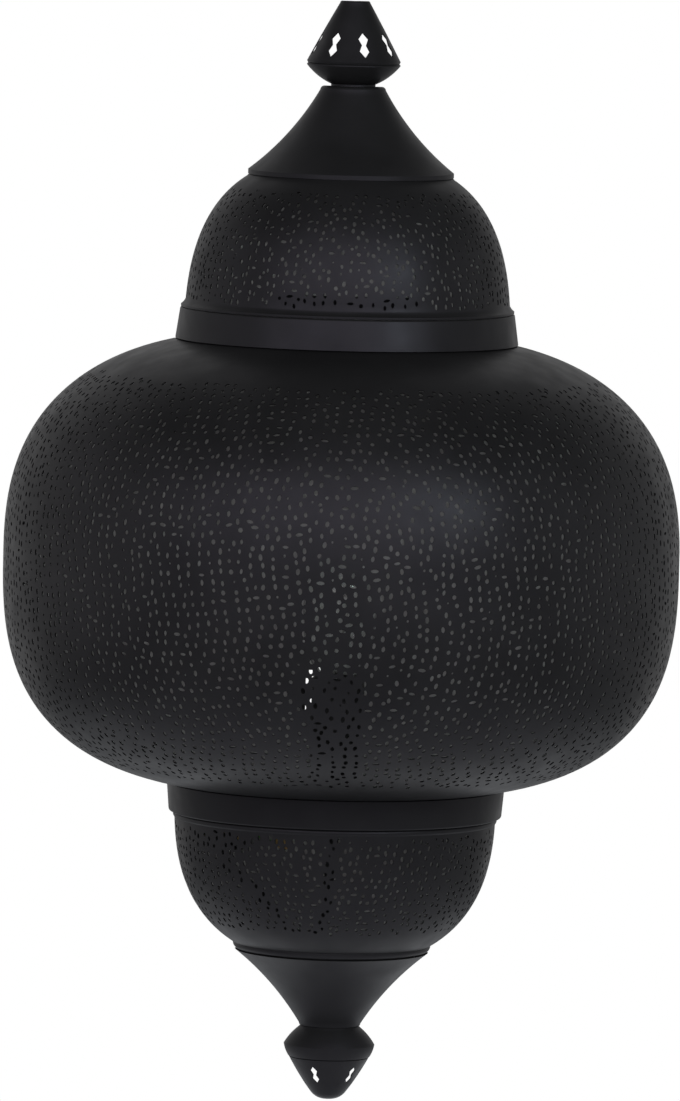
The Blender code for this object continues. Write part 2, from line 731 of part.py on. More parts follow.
def finial_tip_outline():
    """Tapered tip with a flat end round a vent hole."""
    radius, top = FINIAL_TIP_TOP_RADIUS, FINIAL_TIP_TOP
    corner = rounded_corner((radius - EDGE_ROUND, top), (radius, top - EDGE_ROUND))
    side = arc(corner[-1], (FINIAL_RADIUS, FINIAL_TIP_BOTTOM + EDGE_ROUND), -FINIAL_TIP_CROWN, 2)
    foot = (FINIAL_RADIUS - EDGE_ROUND / 2, FINIAL_TIP_BOTTOM)
    return [(VENT_RADIUS, top)] + corner + side[1:] + [foot]


def lower_collar_outline():
    """Tapered ring with a flat shelf turned in at its bottom, over the lower dome."""
    radius, bottom = LOWER_COLLAR_RADIUS, LOWER_COLLAR_BOTTOM
    corner = rounded_corner((radius, bottom + EDGE_ROUND), (radius - EDGE_ROUND, bottom))
    skirt = [(radius + LOWER_COLLAR_SPREAD, LOWER_COLLAR_TOP)]
    return skirt + corner + [(radius - COLLAR_SHELF, bottom)]


def bowl_outline():
    """Beaded rim, the oval, and a flange turned in over the lower cone."""
    radius = BOWL_BEAD_RADIUS
    bead = rounded_corner((radius - EDGE_ROUND, BOWL_TOP), (radius, BOWL_TOP - EDGE_ROUND))
    oval = oval_run(
        BOWL_LEVEL, *BOWL_OVAL, BOWL_TOP - BOWL_BEAD_HEIGHT, BOWL_BOTTOM, BOWL_ROWS
    )
    flange = [(oval[-1][0] - BOWL_FLANGE, BOWL_BOTTOM - SEAT / 2)]
    return [(radius - BOWL_LEDGE, BOWL_TOP)] + bead + oval + flange


def foot_outline():
    """Flange, an upright lip under the lower dome, and the flare down to the neck."""
    radius = FOOT_TOP_RADIUS
    corner = rounded_corner((radius - EDGE_ROUND, FOOT_TOP), (radius, FOOT_TOP - EDGE_ROUND))
    neck_top = (FOOT_BOTTOM_RADIUS, FOOT_BOTTOM + EDGE_ROUND)
    flare = arc((radius, FOOT_TOP - FOOT_LIP_HEIGHT), neck_top, FOOT_FLARE, FOOT_ROWS)
    flange = [(radius - FOOT_FLANGE, FOOT_TOP)]
    return flange + corner + flare + [(FOOT_BOTTOM_RADIUS - SEAT, FOOT_BOTTOM)]


def drop_cup_outline():
    """Ledge under the neck, a hollow shoulder out to the widest level, and a rounded rim."""
    neck = FOOT_BOTTOM_RADIUS
    widest = DROP_CUP_TOP - DROP_WAIST_HEIGHT
    corner = (neck - SEAT, DROP_CUP_TOP - EDGE_ROUND)
    shoulder = arc(corner, (DROP_RADIUS, widest), -DROP_CUP_FLARE, 3)
    rim = arc((DROP_RADIUS, widest), (DROP_RIM_RADIUS, DROP_CUP_BOTTOM), -DROP_RIM_CROWN, 3)
    ledge = [(neck - DROP_LEDGE, DROP_CUP_TOP), (neck - EDGE_ROUND, DROP_CUP_TOP)]
    return ledge + shoulder + rim[1:]


def drop_tip_outline():
    """Tapered tip with a rounded end round a vent hole."""
    radius, top, bottom = DROP_RIM_RADIUS, DROP_TIP_TOP, DROP_TIP_BOTTOM
    side_top = (radius - EDGE_ROUND / 2, top - EDGE_ROUND / 2)
    side_end = (DROP_END_RADIUS, bottom + DROP_END_HEIGHT)
    side = arc(side_top, side_end, -DROP_SIDE_CROWN, 3)
    end = arc(side_end, (VENT_RADIUS, bottom), -DROP_END_ROUND, 3)
    ledge = [(radius - DROP_LEDGE, top), (radius - EDGE_ROUND, top)]
    return ledge + side + end[1:]


def width_at(outline, height):
    """Least radius of an outline at a height."""
    widths = []
    for (r0, z0), (r1, z1) in zip(outline, outline[1:]):
        if z0 != z1 and min(z0, z1) <= height <= max(z0, z1):
            widths.append(r0 + (r1 - r0) * (z0 - height) / (z0 - z1))
    return min(widths)


# Shade
def lozenge_pair(scale):
    """Outline of two lozenges joined at a narrow waist, about its middle."""
    half, wide, waist = LOZENGE_HEIGHT / 2 * scale, LOZENGE_HALF_WIDTH * scale, LOZENGE_WAIST * scale
    right = [(0, half), (wide, half / 2), (waist, 0), (wide, -half / 2), (0, -half)]
    return right + [(-x, z) for x, z in reversed(right[1:-1])]


def cut_lozenges(shell, level, turns, scale, radius, look, parent):
    """Cut the lozenge pairs through a finial's tip, from outside to near its axis."""
    builder = bmesh.new()
    for turn in turns:
        first = len(builder.verts)
        extrude_along(builder, lozenge_pair(scale), 1, -2 * radius, -radius / 6)
        builder.verts.ensure_lookup_table()
        turned = Matrix.Translation((0, AXIS_Y, level)) @ Matrix.Rotation(math.radians(turn), 4, "Z")
        bmesh.ops.transform(builder, matrix=turned, verts=builder.verts[first:])
    combine(shell, add_object(shell.name + "_cutter", builder, look, parent), "DIFFERENCE")


def make_shade(paint, parent):
    body_zone = (BODY_TOP - BODY_PLAIN_TOP, BODY_BOTTOM + BODY_PLAIN_BOTTOM)
    dome_zone = (DOME_TOP - DOME_PLAIN_TOP, DOME_FOOT + DOME_PLAIN_BOTTOM)
    bowl_zone = (BOWL_TOP - BOWL_PLAIN_TOP, BOWL_BOTTOM + BOWL_PLAIN_BOTTOM)
    half_shell("body_shell", body_outline(), BODY_COLUMNS, paint, parent, body_zone)
    half_shell("upper_collar", upper_collar_outline(), COLLAR_COLUMNS, paint, parent)
    half_shell("upper_dome", dome_outline(), DOME_COLUMNS, paint, parent, dome_zone)
    half_shell("upper_cone", cone_outline(), CONE_COLUMNS, paint, parent)
    half_shell("top_finial_cup", finial_cup_outline(), FINIAL_COLUMNS, paint, parent)
    tip = half_shell("top_finial_tip", finial_tip_outline(), FINIAL_COLUMNS, paint, parent)
    half_shell("lower_collar", lower_collar_outline(), COLLAR_COLUMNS, paint, parent)
    half_shell("lower_dome", bowl_outline(), DOME_COLUMNS, paint, parent, bowl_zone)
    half_shell("lower_cone", foot_outline(), CONE_COLUMNS, paint, parent)
    half_shell("bottom_finial_cup", drop_cup_outline(), FINIAL_COLUMNS, paint, parent)
    drop = half_shell("bottom_finial_tip", drop_tip_outline(), FINIAL_COLUMNS, paint, parent)
    tip_level = FINIAL_TIP_TOP - TIP_CUTOUT_DROP
    cut_lozenges(tip, tip_level, TIP_CUTOUT_TURNS, 1.0, FINIAL_RADIUS, paint, parent)
    drop_level = DROP_TIP_TOP - DROP_CUTOUT_DROP
    cut_lozenges(drop, drop_level, DROP_CUTOUT_TURNS, DROP_CUTOUT_SCALE, DROP_RADIUS, paint, parent)


def make_strap(name, bottom, top, radius, look, parent):
    """Flat bar across the back, its ends bent forward along the collar's inside."""
    outline = []
    for side in (-1, 1):
        bend = []
        for step in range(STRAP_BEND_STEPS + 1):
            y = STRAP_BACK - (STRAP_SHEET + STRAP_TAB) * step / STRAP_BEND_STEPS
            bend.append((side * math.sqrt(radius**2 - (y - AXIS_Y) ** 2), y))
        inside = [(x - side * STRAP_SHEET, y) for x, y in reversed(bend[1:])]
        inside.append((bend[0][0] - side * STRAP_SHEET, STRAP_FRONT))
        outline += (bend + inside) if side < 0 else list(reversed(bend + inside))
    extruded(name, outline, 2, bottom, top, look, parent)


def make_rims(look, parent):
    """Flat strips that stiffen the body's two rear edges."""
    shell = inner_outline(body_outline(), SHEET + SEAT)
    top, bottom = BODY_TOP - RIM_END_GAP, BODY_BOTTOM + RIM_END_GAP
    heights = [top + (bottom - top) * step / RIM_STEPS for step in range(RIM_STEPS + 1)]
    for name, side in (("rear_rim_left", -1), ("rear_rim_right", 1)):
        outer = [(side * width_at(shell, z), z) for z in heights]
        inner = [(x - side * RIM_WIDTH, z) for x, z in reversed(outer)]
        extruded(name, outer + inner, 1, AXIS_Y - RIM_SHEET, AXIS_Y, look, parent)


# Wall plate, hooks and their screws
def plate_outline():
    """Right half of the plate, top to bottom, a little inside the shade's outline."""
    top, bottom = DOME_TOP - PLATE_END_INSET, BOWL_BOTTOM + PLATE_END_INSET
    dome = [p for p in dome_outline() if DOME_FOOT + DOME_SKIRT_EDGE < p[1] < top]
    body = [p for p in body_outline() if BODY_BOTTOM < p[1] < BODY_TOP]
    bowl = [p for p in bowl_outline() if bottom < p[1] < BOWL_TOP - EDGE_ROUND]
    upper_collar = [
        (UPPER_COLLAR_RADIUS, UPPER_COLLAR_TOP),
        (UPPER_COLLAR_RADIUS + UPPER_COLLAR_SPREAD, UPPER_COLLAR_BOTTOM - PLATE_INSET),
    ]
    lower_collar = [
        (LOWER_COLLAR_RADIUS + LOWER_COLLAR_SPREAD, LOWER_COLLAR_TOP + PLATE_INSET),
        (LOWER_COLLAR_RADIUS, LOWER_COLLAR_BOTTOM),
    ]
    first = (oval_width(top - DOME_LEVEL, *DOME_OVAL), top)
    last = (oval_width(bottom - BOWL_LEVEL, *BOWL_OVAL), bottom)
    points = [first] + dome + upper_collar + body + lower_collar + bowl + [last]
    return [(radius - PLATE_INSET, height) for radius, height in points]


def keyhole_outline(x, z):
    """Round entry for a screw head with a narrow slot above it."""
    spread = math.asin(KEYHOLE_SLOT_RADIUS / KEYHOLE_RADIUS)
    points = []
    for side in range(KEYHOLE_SIDES + 1):
        turn = math.pi / 2 + spread + (2 * math.pi - 2 * spread) * side / KEYHOLE_SIDES
        points.append((x + KEYHOLE_RADIUS * math.cos(turn), z + KEYHOLE_RADIUS * math.sin(turn)))
    top = z + KEYHOLE_TRAVEL
    for side in range(SLOT_END_SIDES):
        turn = math.pi * side / (SLOT_END_SIDES - 1)
        slot_x = x + KEYHOLE_SLOT_RADIUS * math.cos(turn)
        points.append((slot_x, top + KEYHOLE_SLOT_RADIUS * math.sin(turn)))
    return points


def screw_places():
    """Each bracket's screws by name, as (x, z) on the plate."""
    hanger, lower = {}, {}
    for end, side in (("left", -1), ("right", 1)):
        hanger[f"hanger_screw_{end}"] = (side * HANGER_SCREW_X, UPPER_STRAP_BOTTOM - HANGER_SCREW_DROP)
        lower[f"lower_hook_screw_{end}"] = (
            side * LOWER_HOOK_SCREW_X, LOWER_STRAP_BOTTOM - LOWER_HOOK_SCREW_DROP
        )
    holder = {}
    for end, rise in zip(("upper", "lower"), HOLDER_SCREW_RISES):
        holder[f"holder_screw_{end}"] = (0, BRACKET_LEVEL + rise)
    return hanger, lower, holder


def make_plate(zinc, parent):
    right = plate_outline()
    left = [(-x, z) for x, z in reversed(right)]
    plate = extruded("back_plate", right + left, 1, -PLATE_THICKNESS, 0, zinc, parent)
    liner_room = 2 * (LINER_WALL + SEAT)
    lower_slot = (LOWER_SLOT_X, LOWER_STRAP_BOTTOM - LOWER_SLOT_BELOW_STRAP)
    outlines = [
        keyhole_outline(-KEYHOLE_X, KEYHOLE_Z),
        keyhole_outline(KEYHOLE_X, KEYHOLE_Z),
        stadium(lower_slot, 2 * KEYHOLE_SLOT_RADIUS, LOWER_SLOT_LENGTH, SLOT_END_SIDES),
        stadium(
            (CABLE_SLOT_X, CABLE_SLOT_Z),
            CABLE_SLOT_WIDTH + liner_room,
            CABLE_SLOT_LENGTH + liner_room,
            SLOT_END_SIDES,
        ),
        circle(EARTH_PLACE, SCREW_ROOM, SCREW_SIDES),
    ]
    for places in screw_places():
        outlines += [circle(place, SCREW_ROOM, SCREW_SIDES) for place in places.values()]
    cutter = bmesh.new()
    for outline in outlines:
        extrude_along(cutter, outline, 1, -PLATE_THICKNESS - OVERCUT, OVERCUT)
    combine(plate, add_object("back_plate_cutter", cutter, zinc, parent), "DIFFERENCE")


def make_screws(places, look, parent):
    """Countersunk screws, flush with the bracket's face."""
    flush = BRACKET_FACE + SCREW_SINK
    cone_end = flush + SCREW_HEAD_RADIUS - SCREW_RADIUS
    for name, place in places.items():
        builder = bmesh.new()
        tapered_pin(
            builder, place, [(SCREW_HEAD_RADIUS, flush), (SCREW_RADIUS, cone_end), (SCREW_RADIUS, -SEAT)]
        )
        add_object(name, builder, look, parent)


def countersink(target, places, look, parent):
    """Clearance for the countersunk screws in a bracket's leg."""
    builder = bmesh.new()
    front = BRACKET_FACE - SLIP
    wide = SCREW_HEAD_RADIUS + SEAT + COUNTERSINK_ROOM
    cone_end = front + wide - SCREW_ROOM
    for place in places:
        tapered_pin(builder, place, [(wide, front), (SCREW_ROOM, cone_end), (SCREW_ROOM, AXIS_Y + OVERCUT)])
    combine(target, add_object(target.name + "_cutter", builder, look, parent), "DIFFERENCE")


def hook_section(leg_low, leg_high, floor_top):
    """Side view of a bracket's leg with a hook that holds a strap, as (y, z)."""
    lip_back = STRAP_FRONT - SLIP
    lip_front = lip_back - BRACKET_SHEET
    floor_bottom = floor_top - BRACKET_SHEET
    return [
        (AXIS_Y, leg_high),
        (AXIS_Y, leg_low),
        (BRACKET_FACE, leg_low),
        (BRACKET_FACE, floor_bottom),
        (lip_front, floor_bottom),
        (lip_front, floor_top + HOOK_LIP),
        (lip_back, floor_top + HOOK_LIP),
        (lip_back, floor_top),
        (BRACKET_FACE, floor_top),
        (BRACKET_FACE, leg_high),
    ]


def make_hook_bracket(name, half_width, strap_bottom, drop, rise, hooks, places, look, parent):
    """Flat leg with folded hooks, each hook a slice of the same side view."""
    low, high = strap_bottom - drop, strap_bottom + rise
    leg = [(AXIS_Y, low), (AXIS_Y, high), (BRACKET_FACE, high), (BRACKET_FACE, low)]
    bracket = extruded(name, leg, 0, -half_width, half_width, look, parent)
    section = hook_section(low + OVERCUT, high - OVERCUT, strap_bottom - SEAT)
    for number, x in enumerate(hooks):
        ends = (x - HOOK_WIDTH / 2, x + HOOK_WIDTH / 2)
        combine(bracket, extruded(f"{name}_hook_{number}", section, 0, *ends, look, parent), "UNION")
    countersink(bracket, places, look, parent)


def make_cable_slot_liner(rubber, parent):
    """Rubber edging of the slot where the supply cable comes out of the wall."""
    place = (CABLE_SLOT_X, CABLE_SLOT_Z)
    opening = (CABLE_SLOT_WIDTH, CABLE_SLOT_LENGTH)
    wall = [side + 2 * LINER_WALL for side in opening]
    lip = [side + 2 * LINER_LIP for side in wall]
    outlines = [stadium(place, *size, SLOT_END_SIDES) for size in (lip, wall, opening)]
    lip_front = AXIS_Y - LINER_WALL
    liner = extruded("cable_slot_liner", outlines[0], 1, lip_front, AXIS_Y, rubber, parent)
    collar_front = AXIS_Y - LINER_WALL / 2
    collar = extruded("cable_slot_liner_collar", outlines[1], 1, collar_front, -SEAT, rubber, parent)
    combine(liner, collar, "UNION")
    bore = extruded(
        "cable_slot_liner_bore", outlines[2], 1, lip_front - OVERCUT, OVERCUT, rubber, parent
    )
    combine(liner, bore, "DIFFERENCE")


# Lampholder
def make_holder_bracket(look, parent):
    """Angle bracket: a short leg on the plate and a long one under the lampholder."""
    half = BRACKET_WIDTH / 2
    front = LAMP_Y - BRACKET_END
    leg_top = BRACKET_LEVEL + BRACKET_LEG
    section = [
        (AXIS_Y, leg_top),
        (AXIS_Y, BRACKET_BOTTOM),
        (front, BRACKET_BOTTOM),
        (front, BRACKET_LEVEL),
        (BRACKET_FACE, BRACKET_LEVEL),
        (BRACKET_FACE, leg_top),
    ]
    bracket = extruded("holder_bracket", section, 0, -half, half, look, parent)
    outline = circle((0, LAMP_Y), NIPPLE_ROOM, HOLDER_SIDES)
    reach = (BRACKET_BOTTOM - OVERCUT, BRACKET_LEVEL + OVERCUT)
    hole = extruded("holder_bracket_hole", outline, 2, *reach, look, parent)
    combine(bracket, hole, "DIFFERENCE")
    countersink(bracket, screw_places()[2].values(), look, parent)


def make_holder(plastic, ceramic, nickel, parent):
    centre = (0, LAMP_Y)
    shell_bottom = HOLDER_CAP_TOP + SEAT
    shell = [
        (HOLDER_RADIUS - EDGE_ROUND, HOLDER_TOP),
        (HOLDER_RADIUS, HOLDER_TOP - EDGE_ROUND),
        (HOLDER_RADIUS, shell_bottom),
        (HOLDER_BORE, shell_bottom),
        (HOLDER_BORE, HOLDER_TOP),
    ]
    lathe("holder_shell", shell, HOLDER_SIDES, plastic, parent, centre)
    spigot = HOLDER_BORE - SEAT
    spigot_bore = spigot - HOLDER_WALL
    spigot_top = HOLDER_CAP_TOP + HOLDER_SPIGOT
    cap = [
        (spigot, spigot_top),
        (spigot, HOLDER_CAP_TOP),
        (HOLDER_RADIUS, HOLDER_CAP_TOP),
        (HOLDER_RADIUS, HOLDER_CAP_TOP - HOLDER_CAP_BAND),
        (HOLDER_CAP_FOOT_RADIUS, HOLDER_FOOT),
        (NIPPLE_ROOM, HOLDER_FOOT),
        (NIPPLE_ROOM, HOLDER_FOOT + HOLDER_CAP_FLOOR),
        (spigot_bore, HOLDER_CAP_TOP - EDGE_ROUND),
        (spigot_bore, spigot_top),
    ]
    lathe("holder_cap", cap, HOLDER_SIDES, plastic, parent, centre)
    sleeve_room = SLEEVE_RADIUS + SEAT
    core = [
        (CORE_RADIUS, CORE_TOP),
        (CORE_RADIUS, CORE_BOTTOM),
        (NIPPLE_BORE, CORE_BOTTOM),
        (NIPPLE_BORE, CORE_FLOOR_LEVEL),
        (sleeve_room, CORE_FLOOR_LEVEL),
        (sleeve_room, CORE_TOP),
    ]
    lathe("holder_core", core, SMALL_SIDES, ceramic, parent, centre)
    on_floor = CORE_FLOOR_LEVEL + SEAT
    sleeve = [
        (SLEEVE_RADIUS, SLEEVE_TOP),
        (SLEEVE_RADIUS, on_floor),
        (SLEEVE_RADIUS - SLEEVE_WALL, on_floor),
        (SLEEVE_RADIUS - SLEEVE_WALL, SLEEVE_TOP),
    ]
    lathe("holder_sleeve", sleeve, SMALL_SIDES, nickel, parent, centre)
    contact_top = CAP_BOTTOM - CAP_TIP - SEAT
    contact = [
        (0, contact_top),
        (CONTACT_TOP_RADIUS, contact_top),
        (CONTACT_FOOT_RADIUS, on_floor + CONTACT_SHEET),
        (CONTACT_FOOT_RADIUS, on_floor),
        (0, on_floor),
    ]
    lathe("holder_contact", contact, SMALL_SIDES, nickel, parent, centre, closed=False)


def make_nipple(steel, plastic, parent):
    """Threaded tube that clamps the lampholder to its bracket, with the flex's grip."""
    centre = (0, LAMP_Y)
    nipple = [
        (NIPPLE_RADIUS, NIPPLE_TOP),
        (NIPPLE_RADIUS, NIPPLE_BOTTOM),
        (NIPPLE_BORE, NIPPLE_BOTTOM),
        (NIPPLE_BORE, NIPPLE_TOP),
    ]
    lathe("threaded_nipple", nipple, SMALL_SIDES, steel, parent, centre)
    washer_bottom = WASHER_TOP - WASHER_THICKNESS
    washer = [
        (WASHER_RADIUS, WASHER_TOP),
        (WASHER_RADIUS, washer_bottom),
        (NIPPLE_ROOM, washer_bottom),
        (NIPPLE_ROOM, WASHER_TOP),
    ]
    lathe("nipple_washer", washer, SMALL_SIDES, steel, parent, centre)
    hexagon = circle(centre, NUT_ACROSS_FLATS / math.sqrt(3), 6)
    nut_bottom = NUT_TOP - NUT_HEIGHT
    nut = extruded("nipple_nut", hexagon, 2, nut_bottom, NUT_TOP, steel, parent)
    reach = (nut_bottom - OVERCUT, NUT_TOP + OVERCUT)
    outline = circle(centre, NIPPLE_ROOM, SMALL_SIDES)
    combine(nut, extruded("nipple_nut_bore", outline, 2, *reach, steel, parent), "DIFFERENCE")
    flex_room = FLEX_RADIUS + SEAT
    grip = [
        (GRIP_RADIUS, GRIP_TOP),
        (GRIP_RADIUS, GRIP_BOTTOM + GRIP_TAPER),
        (GRIP_RADIUS - GRIP_TAPER, GRIP_BOTTOM),
        (flex_room, GRIP_BOTTOM),
        (flex_room, NIPPLE_BOTTOM - SEAT),
        (NIPPLE_ROOM, NIPPLE_BOTTOM - SEAT),
        (NIPPLE_ROOM, GRIP_TOP),
    ]
    lathe("cord_grip", grip, SMALL_SIDES, plastic, parent, centre)


# Bulb, drawn about its own axis
def bulb_outline():
    """Outside of the glass from its tip down to the end of its neck."""
    belly = (BULB_RADIUS, BULB_NECK + BULB_BELLY_RISE)
    crown = arc((BULB_TIP_RADIUS, BULB_TIP), belly, -BULB_CROWN, 4)
    cheek = arc(belly, (BULB_NECK_RADIUS, BULB_NECK), -BULB_CHEEK, 4)
    return crown + cheek[1:] + [(BULB_NECK_RADIUS, BULB_NECK - BULB_NECK_LENGTH)]


def make_bulb(glass, nickel, black_glass, wire, parent):
    outside = bulb_outline()
    inside = inner_outline(outside, GLASS_WALL)[1:]
    inner_tip = BULB_TIP - 2 * GLASS_WALL
    profile = [(0, BULB_TIP)] + outside + list(reversed(inside)) + [(0, inner_tip)]
    lathe("bulb_glass", profile, BULB_SIDES, glass, parent, closed=False)
    shoulder = CAP_TOP - EDGE_ROUND
    inner_radius = CAP_RADIUS - CAP_WALL
    foot_radius = CAP_RADIUS - CAP_FOOT
    cap = [
        (CAP_RADIUS + CAP_FLARE, CAP_TOP),
        (CAP_RADIUS, shoulder),
        (CAP_RADIUS, CAP_BOTTOM + CAP_FOOT),
        (foot_radius, CAP_BOTTOM),
        (foot_radius - CAP_WALL, CAP_BOTTOM),
        (inner_radius, CAP_BOTTOM + CAP_FOOT),
        (inner_radius + CAP_FLARE, CAP_TOP),
    ]
    lathe("bulb_cap", cap, BULB_SIDES, nickel, parent)
    ring_top = CAP_BOTTOM - SEAT
    ring_bottom = ring_top - INSULATOR_HEIGHT
    insulator = [
        (foot_radius, ring_top),
        (INSULATOR_BORE + CAP_WALL, ring_bottom),
        (INSULATOR_BORE, ring_bottom),
        (INSULATOR_BORE, ring_top),
    ]
    lathe("bulb_insulator", insulator, SMALL_SIDES, black_glass, parent)
    contact_radius = INSULATOR_BORE - SEAT
    contact = [
        (0, ring_top),
        (contact_radius, ring_top),
        (contact_radius, ring_bottom),
        (0, CAP_BOTTOM - CAP_TIP),
    ]
    lathe("bulb_contact", contact, SMALL_SIDES, nickel, parent, closed=False)
    stem_bottom = BULB_NECK - BULB_NECK_LENGTH
    stem = [
        (0, STEM_TOP),
        (STEM_RADIUS, STEM_TOP),
        (STEM_WAIST_RADIUS, BULB_NECK + BULB_NECK_LENGTH),
        (BULB_NECK_RADIUS - GLASS_WALL - SEAT, stem_bottom),
        (0, stem_bottom),
    ]
    lathe("bulb_stem", stem, SMALL_SIDES, glass, parent, closed=False)
    foot_level = STEM_TOP + SEAT
    crown_level = foot_level + FILAMENT_RISE
    left = [
        (-FILAMENT_FOOT, 0, foot_level),
        (-FILAMENT_FOOT, 0, foot_level + FILAMENT_LEG),
        (-FILAMENT_SPREAD, 0, crown_level),
    ]
    right = [(-x, y, z) for x, y, z in reversed(left)]
    route = left + [(0, 0, crown_level - FILAMENT_SAG)] + right
    tube("bulb_filament", smooth_route(route, 2), FILAMENT_RADIUS, 1, wire, parent)


# Wiring
def make_terminal_block(plastic, brass, parent):
    """Insulated block with a groove between poles and two screws in each pole."""
    low, high = BLOCK_BOTTOM, BLOCK_TOP
    shoulder = AXIS_Y - BLOCK_SHOULDER
    section = [
        (AXIS_Y, high),
        (AXIS_Y, low),
        (shoulder, low),
        (BLOCK_FRONT, low + BLOCK_CHAMFER),
        (BLOCK_FRONT, high - BLOCK_CHAMFER),
        (shoulder, high),
    ]
    left = BLOCK_X - BLOCK_WIDTH / 2
    block = extruded("terminal_block", section, 0, left, left + BLOCK_WIDTH, plastic, parent)
    pitch = BLOCK_WIDTH / BLOCK_POLES
    cutter = bmesh.new()
    for pole in range(1, BLOCK_POLES):
        x = left + pitch * pole
        sides = (x - BLOCK_GROOVE / 2, x + BLOCK_GROOVE / 2)
        front, floor = BLOCK_FRONT - OVERCUT, shoulder + BLOCK_GROOVE_FLOOR
        groove = [(sides[0], floor), (sides[1], floor), (sides[1], front), (sides[0], front)]
        extrude_along(cutter, groove, 2, low - OVERCUT, high + OVERCUT)
    well_floor = BLOCK_FRONT + BLOCK_WELL
    screw_back = well_floor - SEAT
    for pole in range(BLOCK_POLES):
        for row, side in (("upper", 1), ("lower", -1)):
            place = (left + pitch * (pole + 0.5), (low + high) / 2 + side * BLOCK_SCREW_OFFSET)
            well = circle(place, BLOCK_SCREW_RADIUS + SEAT, SCREW_SIDES)
            extrude_along(cutter, well, 1, BLOCK_FRONT - OVERCUT, well_floor)
            screw = circle(place, BLOCK_SCREW_RADIUS, SCREW_SIDES)
            name = f"terminal_screw_{row}_{pole + 1}"
            extruded(name, screw, 1, screw_back - BLOCK_SCREW_LENGTH, screw_back, brass, parent)
    combine(block, add_object("terminal_block_cutter", cutter, plastic, parent), "DIFFERENCE")


def make_earth(brass, green, parent):
    """Ring lug under a screw on the plate, with its wire to the terminal block."""
    lug_front = AXIS_Y - LUG_SHEET
    ring = circle(EARTH_PLACE, LUG_RADIUS, SMALL_SIDES)
    lug = extruded("earth_lug", ring, 1, lug_front, AXIS_Y, brass, parent)
    hole = circle(EARTH_PLACE, SCREW_ROOM, SMALL_SIDES)
    bore = extruded("earth_lug_bore", hole, 1, lug_front - OVERCUT, OVERCUT, brass, parent)
    combine(lug, bore, "DIFFERENCE")
    head_back = lug_front - SEAT
    head_front = head_back - EARTH_SCREW_HEAD
    builder = bmesh.new()
    rings = [(SCREW_HEAD_RADIUS, head_front), (SCREW_HEAD_RADIUS, head_back), (SCREW_RADIUS, head_back)]
    tapered_pin(builder, EARTH_PLACE, rings + [(SCREW_RADIUS, -SEAT)])
    add_object("earth_screw", builder, brass, parent)
    block_right = BLOCK_X + BLOCK_WIDTH / 2
    lug_left = EARTH_X - LUG_RADIUS - SEAT
    wire_y = lug_front - EARTH_WIRE_LIFT
    third = (lug_left - block_right) / 3
    route = [
        (lug_left, wire_y, EARTH_PLACE[1]),
        (lug_left - third, wire_y, EARTH_PLACE[1]),
        (block_right + third, wire_y, EARTH_PLACE[1] + EARTH_WIRE_RISE),
        (block_right + SEAT, wire_y, EARTH_PLACE[1] + EARTH_WIRE_RISE),
    ]
    tube("earth_wire", smooth_route(route, 2), EARTH_WIRE_RADIUS, 2, green, parent)


def make_flex(plastic, parent):
    """Lead from the lampholder: down through the nipple, round, and up to the terminal block."""
    entry_y = AXIS_Y - FLEX_ENTRY
    route = [
        (0, LAMP_Y, NIPPLE_TOP - SEAT),
        (0, LAMP_Y, NIPPLE_BOTTOM),
        (0, LAMP_Y, -0.1360),
        (-0.0010, -0.0580, -0.1500),
        (-0.0025, -0.0500, -0.1650),
        (-0.0030, -0.0410, -0.1790),
        (-0.0055, -0.0330, -0.1890),
        (-0.0135, -0.0275, -0.1945),
        (-0.0225, -0.0245, -0.1915),
        (-0.0285, -0.0225, -0.1840),
        (-0.0360, -0.0205, -0.1760),
        (-0.0440, -0.0180, -0.1690),
        (-0.0520, -0.0130, -0.1635),
        (-0.0568, -0.0075, -0.1590),
        (BLOCK_X, entry_y, BLOCK_BOTTOM - FLEX_RADIUS),
        (BLOCK_X, entry_y, BLOCK_BOTTOM - SLIP),
    ]
    tube("lamp_flex", smooth_route(route, 2), FLEX_RADIUS, 2, plastic, parent)


